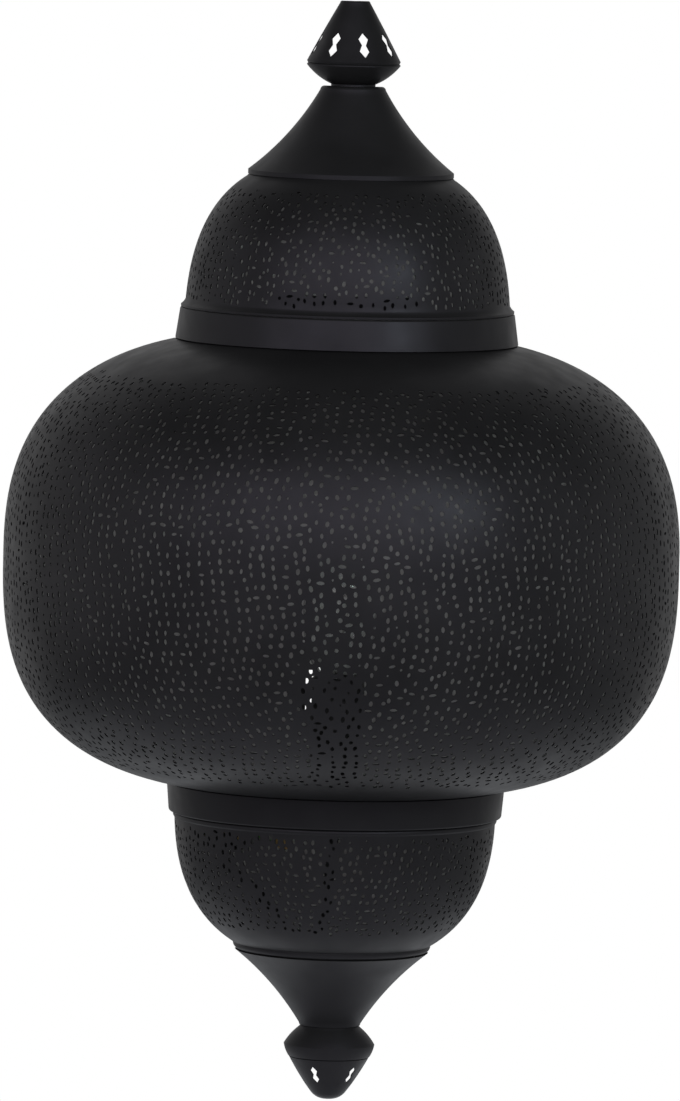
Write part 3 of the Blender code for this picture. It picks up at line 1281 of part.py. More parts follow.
def main():
    for old in list(bpy.data.objects):
        bpy.data.objects.remove(old, do_unlink=True)
    paint = material("black_paint", (0.012, 0.013, 0.014), 0.48, 0.0)
    zinc = material("zinc_plate", (0.42, 0.42, 0.38), 0.45, 0.9)
    plastic = material("black_plastic", (0.010, 0.010, 0.011), 0.40, 0.0)
    ceramic = material("white_ceramic", (0.75, 0.73, 0.68), 0.35, 0.0)
    nickel = material("nickel", (0.62, 0.60, 0.55), 0.25, 1.0)
    steel = material("zinc_steel", (0.45, 0.46, 0.47), 0.38, 1.0)
    brass = material("brass", (0.65, 0.47, 0.20), 0.30, 1.0)
    rubber = material("black_rubber", (0.015, 0.015, 0.015), 0.75, 0.0)
    green = material("earth_green", (0.10, 0.32, 0.06), 0.50, 0.0)
    black_glass = material("black_glass", (0.01, 0.01, 0.012), 0.15, 0.0)
    tungsten = material("tungsten", (0.30, 0.29, 0.28), 0.45, 1.0)
    glass = glass_material("clear_glass")

    wall_unit = empty("wall_unit", (0, 0, 0))
    shade = empty("shade", (0, 0, 0))
    bulb = empty("bulb", (0, LAMP_Y, 0))

    make_shade(paint, shade)
    make_strap("upper_strap", UPPER_STRAP_BOTTOM, UPPER_STRAP_TOP, UPPER_STRAP_RADIUS, paint, shade)
    make_strap("lower_strap", LOWER_STRAP_BOTTOM, LOWER_STRAP_TOP, LOWER_STRAP_RADIUS, paint, shade)
    make_rims(paint, shade)

    make_plate(zinc, wall_unit)
    hanger_places, lower_places, holder_places = screw_places()
    make_hook_bracket(
        "hanger_bracket", HANGER_HALF_WIDTH, UPPER_STRAP_BOTTOM, HANGER_DROP, HANGER_RISE,
        HANGER_HOOKS, hanger_places.values(), paint, wall_unit,
    )
    make_hook_bracket(
        "lower_hook", LOWER_HOOK_HALF_WIDTH, LOWER_STRAP_BOTTOM, LOWER_HOOK_DROP, LOWER_HOOK_RISE,
        [0], lower_places.values(), paint, wall_unit,
    )
    for places in (hanger_places, lower_places, holder_places):
        make_screws(places, steel, wall_unit)
    make_cable_slot_liner(rubber, wall_unit)
    make_holder_bracket(paint, wall_unit)
    make_holder(plastic, ceramic, nickel, wall_unit)
    make_nipple(steel, plastic, wall_unit)
    make_terminal_block(plastic, brass, wall_unit)
    make_earth(brass, green, wall_unit)
    make_flex(plastic, wall_unit)
    make_bulb(glass, nickel, black_glass, tungsten, bulb)


main()
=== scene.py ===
"""Looks of the half-lantern wall lamp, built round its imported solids.

Metres, +Z up. The wall is the plane y = 0 and the lamp stands out of it towards -Y.
"""
import json
import math
import random
from collections import namedtuple

import bpy
import numpy as np
from mathutils import Matrix, Vector
from mathutils.geometry import delaunay_2d_cdt


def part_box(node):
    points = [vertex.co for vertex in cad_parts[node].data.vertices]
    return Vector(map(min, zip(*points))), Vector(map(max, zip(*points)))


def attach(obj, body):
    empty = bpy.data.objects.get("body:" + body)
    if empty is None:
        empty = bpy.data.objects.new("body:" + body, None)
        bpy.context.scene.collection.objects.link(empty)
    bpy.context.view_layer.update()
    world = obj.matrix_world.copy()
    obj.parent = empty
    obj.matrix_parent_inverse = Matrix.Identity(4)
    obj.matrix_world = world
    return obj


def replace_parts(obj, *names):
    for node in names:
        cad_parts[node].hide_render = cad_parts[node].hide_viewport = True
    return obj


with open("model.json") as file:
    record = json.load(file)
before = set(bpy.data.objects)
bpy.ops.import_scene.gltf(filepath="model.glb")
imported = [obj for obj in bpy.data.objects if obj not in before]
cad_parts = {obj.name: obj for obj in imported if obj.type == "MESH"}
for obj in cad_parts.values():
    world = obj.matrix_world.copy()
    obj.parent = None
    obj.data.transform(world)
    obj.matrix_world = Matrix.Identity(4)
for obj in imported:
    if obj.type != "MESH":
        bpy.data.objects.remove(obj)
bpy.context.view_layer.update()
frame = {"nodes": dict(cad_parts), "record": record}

# Sheet metal and the fits between its pieces, as the solids have them, and the thin pierced sheet
SHEET = 0.0012
PIERCED_SHEET = 0.0006
EDGE_ROUND = 0.0010
SEAT = 0.0003
SLIP = 0.0005
# how far the fine shells close most of those fits, so that no light shows through them
SEAT_CLOSED = 0.00025
SLIP_CLOSED = 0.00045
# how far the feet of the top tip, the lower cup and the lower cone turn in, onto the piece below
FOOT_TURN_IN = 0.0025

# Body: a squarish oval above its widest level and one below, centred this far off the axis
BODY_OFFSET = 0.0310
BODY_RISE = 0.1171
BODY_RISE_POWER = 2.49
BODY_DROP = 0.1206
BODY_DROP_POWER = 2.79
BODY_NECK = 0.0032

# Collars
UPPER_COLLAR_SPREAD = 0.0021
LOWER_COLLAR_SPREAD = 0.0012
COLLAR_SHELF = 0.0040

# Upper dome
DOME_SKIRT_SPREAD = 0.0016
DOME_POWER = 2.82
DOME_WIDEST_BELOW_FOOT = 0.0235
DOME_TOP_PROUD = 0.0004
DOME_SKIRT_HEIGHT = 0.0040
DOME_SKIRT_FLARE = math.radians(38)
DOME_SKIRT_EDGE = 0.0011
DOME_FLANGE = 0.0060
DOME_FLANGE_RISE = 0.0011

# Upper cone
CONE_LIP_HEIGHT = 0.0023
CONE_TOP_RADIUS = 0.0170
CONE_SHOULDER = 0.0020
CONE_FLARE = math.radians(23)
CONE_HOLE_RADIUS = 0.0060

# Upper finial
FINIAL_NECK_RADIUS = 0.0115
FINIAL_NECK_HEIGHT = 0.0010
FINIAL_CUP_FLARE = math.radians(28)
FINIAL_LEDGE = 0.0050
FINIAL_TIP_TOP_RADIUS = 0.0078
FINIAL_TIP_CROWN = math.radians(2)
VENT_RADIUS = 0.0016

# Lower dome
BOWL_BEAD_PROUD = 0.0007
BOWL_POWER = 2.54
BOWL_WIDEST_ABOVE_RIM = 0.0075
BOWL_BEAD_HEIGHT = 0.0030
BOWL_BEAD_ROUND = math.radians(112)
BOWL_LEDGE = 0.0030
BOWL_FLANGE = 0.0055

# Lower cone
FOOT_LIP_PROUD = 0.0008
FOOT_LIP_RISE = 0.0006
FOOT_LIP_HEIGHT = 0.0028
FOOT_LIP_LEAN = 0.0017
FOOT_LIP_ROUND = math.radians(70)
FOOT_GROOVE_DEPTH = 0.0023
FOOT_GROOVE_WIDTH = 0.0006
FOOT_SHOULDER = 0.0011
FOOT_BOTTOM_RADIUS = 0.0161
FOOT_FLARE = math.radians(20)
FOOT_FLANGE = 0.0055

# Lower finial
DROP_WAIST_HEIGHT = 0.0100
DROP_CUP_FLARE = math.radians(22)
DROP_RIM_RADIUS = 0.0212
DROP_RIM_CROWN = math.radians(24)
DROP_LEDGE = 0.0050
DROP_END_RADIUS = 0.0088
DROP_END_HEIGHT = 0.0034
DROP_END_ROUND = math.radians(50)
DROP_SIDE_CROWN = math.radians(10)

# Cut-outs in the finials' tips: two lozenges joined one above the other
LOZENGE_HALF_WIDTH = 0.0026
LOZENGE_WAIST = 0.0011
LOZENGE_HEIGHT = 0.0125
CUTOUT_MARGIN = 0.0004
# turns in degrees, how far the middles lie below the tip's top, and the scale of the lozenges
TIP_CUTOUTS = ([-79, -32, 15, 62], 0.0222, 1.0)
DROP_CUTOUTS = ([-26, 46], 0.0086, 0.72)

# Pierced pattern: holes in rows from one side to the other, shuffled out of line
HOLE_SPACING = 0.0057
HOLE_ROW_SPACING = 0.0050
HOLE_SHUFFLE = 0.0009
# most that a column is moved up or down, as a share of the row spacing
HOLE_STAGGER = 0.5
# most that a row shifts sideways from the one above it
HOLE_DRIFT = 0.0016
# sideways sway of the holes, its length down the sheet and its waves from side to side
HOLE_WANDER = 0.0008
HOLE_WANDER_LENGTH = 0.060
HOLE_WANDER_WAVES = 3
# least metal between two holes, and what a hole keeps to the sheet's rear edge beyond that
HOLE_WEB = 0.0006
HOLE_EDGE = 0.0020
# only earlier holes within this turn, rows back and holes back can come too close
NEAR_TURN = 0.4
NEAR_ROWS = 3
NEAR_HOLES = 3
HOLE_TILT = math.radians(14)
HOLE_GROWTH = 0.16
# share of the holes, half-width across, half-height up and down, and sides
HOLE_KINDS = [
    (0.60, 0.00098, 0.00155, 8),
    (0.24, 0.00114, 0.00120, 8),
    (0.08, 0.00190, 0.00086, 8),
    (0.08, 0.00062, 0.00070, 6),
]
# scales of the spacing and of the holes: the domes' pattern is finer than the body's
BODY_FINENESS = (1, 1)
DOME_FINENESS = (0.84, 0.87)
# levels between which the body is pierced, and the domes' plain margins at top and foot
BODY_PIERCED = (0.096, -0.107)
DOME_PIERCED_MARGIN = (0.0065, 0.0052)
BOWL_PIERCED_MARGIN = (0.0050, 0.0119)
BODY_SEED = 11
DOME_SEED = 12
BOWL_SEED = 13

# Fineness of the shells: columns from side to side, and steps along each curve of an outline
SHELL_COLUMNS = 128
SMALL_COLUMNS = 72
BODY_STEPS = 36
DOME_STEPS = 30
CONE_STEPS = 20
FINIAL_STEPS = 10
BEAD_STEPS = 10
DROP_STEPS = 8
LIP_STEPS = 6
CORNER_STEPS = 5
CORNER_ROUND = math.radians(80)
SHARP_ANGLE = math.radians(30)
# most that a wall is stretched where its outline turns a corner
MITRE_LIMIT = 2.0
# points of an unrolled sheet that lie closer than this merge, and the owner of those round no hole
MERGE_DISTANCE = 1e-9
NO_HOLE = -1

# The shade's axis stands a little in front of the wall
AXIS_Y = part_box("body_shell")[1].y


# Outlines: lists of (radius, height) from top to bottom
def size(node):
    """Half-width, top and bottom of a node that is even on both sides of x = 0."""
    low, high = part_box(node)
    return high.x, high.z, low.z


def arc(start, end, sweep, steps):
    """Points of a circular arc that turns by sweep between two points."""
    chord = Vector(end) - Vector(start)
    points = []
    for step in range(steps + 1):
        share = step / steps
        reach = math.sin(share * sweep / 2) / math.sin(sweep / 2)
        swung = Matrix.Rotation((share - 1) * sweep / 2, 2) @ chord
        points.append(tuple(Vector(start) + swung * reach))
    return points


def rounded_corner(start, end):
    """A convex edge of the sheet between two points of an outline."""
    return arc(start, end, -CORNER_ROUND, CORNER_STEPS)


def top_edge(radius, top, edge=EDGE_ROUND):
    """The convex edge round the top of a piece."""
    return rounded_corner((radius - edge, top), (radius, top - edge))


def oval_width(height, offset, half_width, half_height, power):
    """Half-width of a squarish oval at a height from its widest level."""
    share = min(abs(height) / half_height, 1.0)
    return offset + (half_width - offset) * (1 - share**power) ** (1 / power)


def oval_half_height(height, width, half_width, power):
    """Half-height of a squarish oval that has a half-width at a height from its widest level."""
    return height / (1 - (width / half_width) ** power) ** (1 / power)


def oval_run(level, offset, half_width, half_height, power, start, end, steps):
    """Points down a squarish oval between two heights, closer where it bends."""

    def turn(height):
        share = min(abs(height - level) / half_height, 1.0)
        return math.copysign(math.asin(share ** (power / 2)), height - level)

    first, last = turn(start), turn(end)
    points = []
    for step in range(steps + 1):
        angle = first + (last - first) * step / steps
        rise = math.copysign(abs(math.sin(angle)) ** (2 / power) * half_height, angle)
        points.append((oval_width(rise, offset, half_width, half_height, power), level + rise))
    return points


def inner_outline(outline, wall):
    """The outline moved inwards by the wall, square to the sheet at each point."""
    inner = []
    for index, (radius, height) in enumerate(outline):
        before = Vector(outline[max(index - 1, 0)])
        after = Vector(outline[min(index + 1, len(outline) - 1)])
        here = Vector((radius, height))
        legs = [leg.normalized() for leg in (here - before, after - here) if leg.length > 0]
        run = sum(legs, Vector((0, 0))).normalized()
        stretch = min(1 / legs[0].dot(run), MITRE_LIMIT)
        inner.append((radius + run.y * wall * stretch, height - run.x * wall * stretch))
    return inner


def body_outline():
    half_width, top, bottom = size("body_shell")
    upper = (BODY_OFFSET, half_width, BODY_RISE, BODY_RISE_POWER)
    lower = (BODY_OFFSET, half_width, BODY_DROP, BODY_DROP_POWER)
    high = oval_run(0, *upper, top - BODY_NECK, 0, BODY_STEPS)
    low = oval_run(0, *lower, 0, bottom + BODY_NECK, BODY_STEPS)
    return [(high[0][0], top)] + high + low[1:] + [(low[-1][0], bottom)]


def upper_collar_outline():
    half_width, top, bottom = size("upper_collar")
    radius = half_width - UPPER_COLLAR_SPREAD
    return [(radius - COLLAR_SHELF, top)] + top_edge(radius, top) + [(half_width, bottom)]


def dome_outline():
    skirt_radius, flange_level, foot = size("upper_dome")
    lip_radius = size("upper_cone")[0]
    top = flange_level - DOME_FLANGE_RISE
    level = foot - DOME_WIDEST_BELOW_FOOT
    half_width = skirt_radius - DOME_SKIRT_SPREAD
    rise = oval_half_height(top - level, lip_radius + DOME_TOP_PROUD, half_width, DOME_POWER)
    skirt_top = foot + DOME_SKIRT_HEIGHT
    oval = oval_run(level, 0, half_width, rise, DOME_POWER, top, skirt_top, DOME_STEPS)
    flange_edge = lip_radius - SHEET / 2
    flange = [(flange_edge - DOME_FLANGE, flange_level), (flange_edge, flange_level)]
    skirt = arc(oval[-1], (skirt_radius, foot + DOME_SKIRT_EDGE), DOME_SKIRT_FLARE, LIP_STEPS)
    return flange + oval + skirt[1:] + [(skirt_radius, foot)]


def cone_outline():
    lip_radius, top, bottom = size("upper_cone")
    bottom -= SEAT_CLOSED
    shoulder = top_edge(CONE_TOP_RADIUS, top, CONE_SHOULDER)
    flare = arc(shoulder[-1], (lip_radius, bottom + CONE_LIP_HEIGHT), CONE_FLARE, CONE_STEPS)
    return [(CONE_HOLE_RADIUS, top)] + shoulder + flare[1:] + [(lip_radius, bottom)]


def finial_cup_outline():
    radius, top, bottom = size("top_finial_cup")
    top += SEAT_CLOSED
    bottom -= SEAT_CLOSED
    rim = top_edge(radius, top)
    neck = (FINIAL_NECK_RADIUS, bottom + FINIAL_NECK_HEIGHT)
    bowl = arc(rim[-1], neck, -FINIAL_CUP_FLARE, FINIAL_STEPS)
    return [(radius - FINIAL_LEDGE, top)] + rim + bowl[1:] + [(FINIAL_NECK_RADIUS, bottom)]


def finial_tip_outline():
    foot_radius, top, bottom = size("top_finial_tip")
    corner = top_edge(FINIAL_TIP_TOP_RADIUS, top)
    side = arc(corner[-1], (foot_radius, bottom + EDGE_ROUND), -FINIAL_TIP_CROWN, FINIAL_STEPS)
    foot = [(foot_radius - EDGE_ROUND / 2, bottom), (foot_radius - FOOT_TURN_IN, bottom)]
    return [(VENT_RADIUS, top)] + corner + side[1:] + foot


def lower_collar_outline():
    half_width, top, bottom = size("lower_collar")
    radius = half_width - LOWER_COLLAR_SPREAD
    corner = rounded_corner((radius, bottom + EDGE_ROUND), (radius - EDGE_ROUND, bottom))
    return [(half_width, top)] + corner + [(radius - COLLAR_SHELF, bottom)]


def bowl_outline():
    radius, top, flange_level = size("lower_dome")
    bottom = flange_level + SEAT / 2
    lip_radius = size("lower_cone")[0]
    half_width = radius - BOWL_BEAD_PROUD
    level = top + BOWL_WIDEST_ABOVE_RIM
    drop = oval_half_height(level - bottom, lip_radius - FOOT_LIP_PROUD, half_width, BOWL_POWER)
    bead_foot = top - BOWL_BEAD_HEIGHT
    oval = oval_run(level, 0, half_width, drop, BOWL_POWER, bead_foot, bottom, DOME_STEPS)
    rim = top + SEAT_CLOSED
    bead = arc((radius - EDGE_ROUND, rim), oval[0], -BOWL_BEAD_ROUND, BEAD_STEPS)
    flange = [(oval[-1][0] - BOWL_FLANGE, flange_level)]
    return [(radius - BOWL_LEDGE, rim)] + bead[:-1] + oval + flange


def foot_outline():
    radius, top, bottom = size("lower_cone")
    top += SLIP_CLOSED
    lip_end = top - FOOT_LIP_HEIGHT
    flange = [(radius - FOOT_FLANGE, top), (radius - FOOT_LIP_PROUD, top)]
    lip_foot = (radius - FOOT_LIP_LEAN, lip_end)
    lip = arc((radius, top + FOOT_LIP_RISE), lip_foot, -FOOT_LIP_ROUND, LIP_STEPS)
    groove = [(radius - FOOT_GROOVE_DEPTH, lip_end - FOOT_GROOVE_WIDTH / 2)]
    flare_top = (radius - FOOT_SHOULDER, lip_end - FOOT_GROOVE_WIDTH)
    flare = arc(flare_top, (FOOT_BOTTOM_RADIUS, bottom + EDGE_ROUND), FOOT_FLARE, CONE_STEPS)
    foot = [(FOOT_BOTTOM_RADIUS - SEAT, bottom), (FOOT_BOTTOM_RADIUS - FOOT_TURN_IN, bottom)]
    return flange + lip + groove + flare + foot


def drop_cup_outline():
    radius, top, bottom = size("bottom_finial_cup")
    top += SEAT_CLOSED
    bottom -= SEAT_CLOSED
    neck = FOOT_BOTTOM_RADIUS
    widest = top - DROP_WAIST_HEIGHT
    neck_foot = (neck - SEAT, top - EDGE_ROUND)
    shoulder = arc(neck_foot, (radius, widest), -DROP_CUP_FLARE, FINIAL_STEPS)
    rim = arc((radius, widest), (DROP_RIM_RADIUS, bottom), -DROP_RIM_CROWN, DROP_STEPS)
    neck_edge = [(neck - DROP_LEDGE, top), (neck - EDGE_ROUND, top)]
    return neck_edge + shoulder + rim[1:] + [(DROP_RIM_RADIUS - FOOT_TURN_IN, bottom)]


def drop_tip_outline():
    _, top, bottom = size("bottom_finial_tip")
    radius = DROP_RIM_RADIUS
    side_top = (radius - EDGE_ROUND / 2, top - EDGE_ROUND / 2)
    side_end = (DROP_END_RADIUS, bottom + DROP_END_HEIGHT)
    side = arc(side_top, side_end, -DROP_SIDE_CROWN, FINIAL_STEPS)
    end = arc(side_end, (VENT_RADIUS, bottom), -DROP_END_ROUND, DROP_STEPS)
    return [(radius - DROP_LEDGE, top), (radius - EDGE_ROUND, top)] + side + end[1:]


# Materials
# values of a noise between which a number, and a colour, goes from its low end to its high end
NUMBER_FADE = (0.3, 0.7)
COLOUR_FADE = (0.35, 0.65)


class Look:
    """A Principled material with helpers for its texture nodes."""

    def __init__(self, name, colour, roughness, metallic=0.0, specular=0.5):
        self.material = bpy.data.materials.new(name)
        self.material.use_nodes = True
        self.tree = self.material.node_tree
        self.shader = self.tree.nodes["Principled BSDF"]
        self.set("Base Color", (*colour, 1.0))
        self.set("Roughness", roughness)
        self.set("Metallic", metallic)
        self.set("Specular IOR Level", specular)

    def set(self, socket, value):
        self.shader.inputs[socket].default_value = value

    def node(self, kind, **inputs):
        made = self.tree.nodes.new(kind)
        for socket, value in inputs.items():
            made.inputs[socket.replace("_", " ")].default_value = value
        return made

    def link(self, source, target):
        self.tree.links.new(source, target)

    def noise(self, scale, detail=2.0, stretch=(1, 1, 1)):
        """Noise in the piece's own metres; scale is features per metre."""
        place = self.node("ShaderNodeTexCoord")
        mapping = self.node("ShaderNodeMapping", Scale=stretch)
        made = self.node("ShaderNodeTexNoise", Scale=scale, Detail=detail)
        self.link(place.outputs["Object"], mapping.inputs["Vector"])
        self.link(mapping.outputs["Vector"], made.inputs["Vector"])
        return made.outputs["Fac"]

    def spread(self, source, socket, low, high):
        """Drive a number socket between two values by a noise."""
        start, end = NUMBER_FADE
        made = self.node("ShaderNodeMapRange", From_Min=start, From_Max=end, To_Min=low, To_Max=high)
        self.link(source, made.inputs["Value"])
        self.link(made.outputs["Result"], self.shader.inputs[socket])

    def tint(self, source, low, high):
        """Drive the base colour between two colours by a noise."""
        ramp = self.node("ShaderNodeValToRGB")
        for stop, position, colour in zip(ramp.color_ramp.elements, COLOUR_FADE, (low, high)):
            stop.position = position
            stop.color = (*colour, 1.0)
        self.link(source, ramp.inputs["Fac"])
        self.link(ramp.outputs["Color"], self.shader.inputs["Base Color"])

    def relief(self, source, depth, strength, under=None):
        """Bump of a depth in metres; a second one goes over what lies under it."""
        made = self.node("ShaderNodeBump", Strength=strength, Distance=depth)
        self.link(source, made.inputs["Height"])
        if under is not None:
            self.link(under.outputs["Normal"], made.inputs["Normal"])
        self.link(made.outputs["Normal"], self.shader.inputs["Normal"])
        return made


def black_paint():
    """Satin stoved paint: fine grain over slow waves of the spun sheet."""
    look = Look("satin_black_paint", (0.0072, 0.0072, 0.0073), 0.42, specular=0.14)
    look.set("Specular Tint", (0.86, 0.81, 1.0, 1.0))
    look.tint(look.noise(22, detail=2), (0.0062, 0.0062, 0.0063), (0.0083, 0.0083, 0.0085))
    look.spread(look.noise(70, detail=3), "Roughness", 0.37, 0.47)
    waves = look.relief(look.noise(45, detail=1), 0.00010, 0.5)
    look.relief(look.noise(1400, detail=2), 0.000015, 0.6, under=waves)
    return look.material


def zinc_plate():
    look = Look("zinc_plate", (0.45, 0.45, 0.44), 0.50, metallic=0.25)
    look.tint(look.noise(60, detail=4), (0.41, 0.41, 0.40), (0.49, 0.49, 0.48))
    look.spread(look.noise(300, detail=2, stretch=(1, 1, 0.1)), "Roughness", 0.42, 0.58)
    look.relief(look.noise(900, stretch=(1, 1, 0.08)), 0.00003, 0.5)
    return look.material


def black_plastic():
    look = Look("black_plastic", (0.008, 0.008, 0.009), 0.42, specular=0.4)
    look.tint(look.noise(120), (0.007, 0.007, 0.008), (0.010, 0.010, 0.011))
    look.spread(look.noise(260, detail=3), "Roughness", 0.36, 0.48)
    look.relief(look.noise(2200), 0.00002, 0.5)
    return look.material


def white_ceramic():
    look = Look("white_ceramic", (0.75, 0.73, 0.68), 0.32)
    look.tint(look.noise(180, detail=3), (0.70, 0.68, 0.62), (0.78, 0.76, 0.71))
    look.relief(look.noise(700), 0.00003, 0.4)
    return look.material


def metal(name, dark, light, roughness, grain=900):
    """A bare metal with slight clouding and a fine machined grain."""
    look = Look(name, light, roughness, metallic=1.0)
    look.tint(look.noise(150, detail=3), dark, light)
    look.spread(look.noise(grain / 2), "Roughness", roughness - 0.06, roughness + 0.08)
    look.relief(look.noise(grain), 0.00001, 0.6)
    return look.material


def black_rubber():
    look = Look("black_rubber", (0.012, 0.012, 0.012), 0.75, specular=0.3)
    look.tint(look.noise(200, detail=3), (0.010, 0.010, 0.010), (0.018, 0.018, 0.018))
    look.relief(look.noise(1500), 0.00004, 0.6)
    return look.material


def cord_sheath(name, dark, light):
    """Smooth plastic sheath of a lead, a little dull from handling."""
    look = Look(name, light, 0.48, specular=0.4)
    look.tint(look.noise(160, detail=3), dark, light)
    look.spread(look.noise(500), "Roughness", 0.42, 0.56)
    look.relief(look.noise(1200), 0.00002, 0.5)
    return look.material


def clear_glass():
    look = Look("clear_glass", (0.96, 0.98, 0.97), 0.02)
    look.set("Transmission Weight", 1.0)
    look.set("IOR", 1.50)
    look.relief(look.noise(60), 0.00003, 0.4)
    return look.material


def black_glass():
    look = Look("black_glass", (0.010, 0.010, 0.013), 0.12)
    look.tint(look.noise(300), (0.008, 0.008, 0.010), (0.014, 0.014, 0.018))
    look.relief(look.noise(500), 0.00002, 0.4)
    return look.material


LOOKS = {
    "black_paint": black_paint(),
    "zinc_plate": zinc_plate(),
    "black_plastic": black_plastic(),
    "white_ceramic": white_ceramic(),
    "nickel": metal("nickel_plate", (0.55, 0.53, 0.48), (0.66, 0.63, 0.57), 0.24),
    "zinc_steel": metal("zinc_steel", (0.40, 0.41, 0.42), (0.52, 0.53, 0.55), 0.36),
    "brass": metal("brass", (0.55, 0.38, 0.15), (0.70, 0.50, 0.22), 0.30),
    "black_rubber": black_rubber(),
    "cord_black": cord_sheath("cord_black", (0.010, 0.010, 0.011), (0.016, 0.016, 0.017)),
    "earth_green": cord_sheath("earth_green", (0.08, 0.28, 0.05), (0.13, 0.36, 0.08)),
    "clear_glass": clear_glass(),
    "black_glass": black_glass(),
    "tungsten": metal("tungsten", (0.24, 0.23, 0.22), (0.34, 0.33, 0.32), 0.45, grain=3000),
}


SLOTS = {part["node"]: part["material_slot"] for part in frame["record"]["subparts"]}


def dress_solids():
    """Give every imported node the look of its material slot."""
    for name, slot in SLOTS.items():
        node = frame["nodes"][name]
        node.data.materials.clear()
        node.data.materials.append(LOOKS[slot])


# Shells of the shade
def on_turn(radius, height, turn):
    """A point of the shade: turn 0 faces the room, and -90 and 90 degrees point along the wall."""
    return (radius * math.sin(turn), AXIS_Y - radius * math.cos(turn), height)


class Profile:
    """A shell's outline and its inside, walked by the run along the sheet from its top."""

    def __init__(self, outline):
        self.outer = np.array(outline)
        self.inner = np.array(inner_outline(outline, PIERCED_SHEET))
        steps = np.linalg.norm(np.diff(self.outer, axis=0), axis=1)
        self.runs = np.concatenate([[0.0], np.cumsum(steps)])

    def at(self, run, skin):
        """Radius and height of a skin at a run."""
        return [np.interp(run, self.runs, skin[:, column]) for column in (0, 1)]

    def radius(self, run):
        return float(np.interp(run, self.runs, self.outer[:, 0]))

    def run_at(self, height):
        """Run at a height, on the stretch where the sheet leads down."""
        return float(np.interp(-height, -self.outer[:, 1], self.runs))

    def facing(self, run):
        """Radial and upward parts of the outside's direction."""
        middles = (self.runs[:-1] + self.runs[1:]) / 2
        legs = np.diff(self.outer, axis=0)
        legs /= np.linalg.norm(legs, axis=1)[:, None]
        across = np.interp(run, middles, -legs[:, 1])
        up = np.interp(run, middles, legs[:, 0])
        length = np.hypot(across, up)
        return across / length, up / length


# a hole's middle is at its turn and run, and its tilt turns it within the sheet
Hole = namedtuple("Hole", "turn run half_width half_height sides tilt")


def row_of_holes(profile, run, drift, offsets, rng, fineness):
    """One row of holes; each column has its offset down the sheet, as a share of the row spacing."""
    closeness, scale = fineness
    columns = len(offsets) - 1
    shares = [kind[0] for kind in HOLE_KINDS]
    radius = profile.radius(run)
    count = round(math.pi * radius / (HOLE_SPACING * closeness))
    holes = []
    for number in range(count):
        share = (number + 0.5) / count
        turn = (share - 0.5) * math.pi
        offset = offsets[int(share * columns)]
        waves = run / HOLE_WANDER_LENGTH + HOLE_WANDER_WAVES * share + offset
        wander = HOLE_WANDER * math.sin(2 * math.pi * waves)
        _, half_width, half_height, sides = rng.choices(HOLE_KINDS, shares)[0]
        growth = scale * (1 + rng.uniform(-HOLE_GROWTH, HOLE_GROWTH))
        across = drift + wander + rng.uniform(-HOLE_SHUFFLE, HOLE_SHUFFLE)
        down = offset * HOLE_ROW_SPACING * closeness + rng.uniform(-HOLE_SHUFFLE, HOLE_SHUFFLE)
        tilt = rng.uniform(-HOLE_TILT, HOLE_TILT)
        place = (turn + across / radius, run + down)
        holes.append(Hole(*place, half_width * growth, half_height * growth, sides, tilt))
    return holes


def too_close(profile, hole, others):
    """Whether a hole leaves less than the least web to one of the others."""
    radius = profile.radius(hole.run)
    for other in others:
        across, down = (hole.turn - other.turn) * radius, hole.run - other.run
        apart = math.hypot(across, down)
        reach = 0.0
        for one in (hole, other):
            reach += math.hypot(one.half_width * across / apart, one.half_height * down / apart)
        if apart < reach + HOLE_WEB:
            return True
    return False


def scatter_holes(profile, start, end, seed, fineness):
    """The pierced pattern between two runs along a shell, each hole as its corners."""
    rng = random.Random(seed)
    rows = round((end - start) / (HOLE_ROW_SPACING * fineness[0]))
    row_runs = [start + (end - start) * row / rows for row in range(rows + 1)]
    widest = max(profile.radius(run) for run in row_runs)
    columns = round(math.pi * widest / (HOLE_SPACING * fineness[0]))
    offsets = [rng.uniform(-HOLE_STAGGER, HOLE_STAGGER) for _ in range(columns + 1)]
    drift = 0.0
    kept, recent = [], []
    for run in row_runs:
        drift += rng.uniform(-HOLE_DRIFT, HOLE_DRIFT)
        fresh = []
        for hole in row_of_holes(profile, run, drift, offsets, rng, fineness):
            margin = (hole.half_width + HOLE_WEB + HOLE_EDGE) / profile.radius(hole.run)
            if abs(hole.turn) > math.pi / 2 - margin or not start <= hole.run <= end:
                continue
            near = recent + fresh[-NEAR_HOLES:]
            near = [other for other in near if abs(other.turn - hole.turn) < NEAR_TURN]
            if not too_close(profile, hole, near):
                fresh.append(hole)
        recent = (recent + fresh)[-NEAR_ROWS * columns :]
        kept += fresh
    return [hole_outline(profile, hole) for hole in kept]


def hole_outline(profile, hole):
    """Corners of a pierced hole as (turn, run)."""
    radius = profile.radius(hole.run)
    corners = []
    for side in range(hole.sides):
        angle = 2 * math.pi * (side + 0.5) / hole.sides
        across, down = hole.half_width * math.cos(angle), hole.half_height * math.sin(angle)
        sideways = across * math.cos(hole.tilt) - down * math.sin(hole.tilt)
        run = hole.run + across * math.sin(hole.tilt) + down * math.cos(hole.tilt)
        corners.append((hole.turn + sideways / radius, run))
    return corners


def lozenge_cutouts(profile, level, turns, scale):
    """The finials' cut-outs, each as its (turn, run) corners round a middle at a level."""
    half, wide, waist = LOZENGE_HEIGHT / 2 * scale, LOZENGE_HALF_WIDTH * scale, LOZENGE_WAIST * scale
    right = [(0, half), (wide, half / 2), (waist, 0), (wide, -half / 2), (0, -half)]
    pair = right + [(-x, z) for x, z in reversed(right[1:-1])]
    cutouts = []
    for turn in turns:
        corners = []
        for x, z in pair:
            run = profile.run_at(level + z)
            corners.append((math.radians(turn) + x / profile.radius(run), run))
        cutouts.append(corners)
    return cutouts


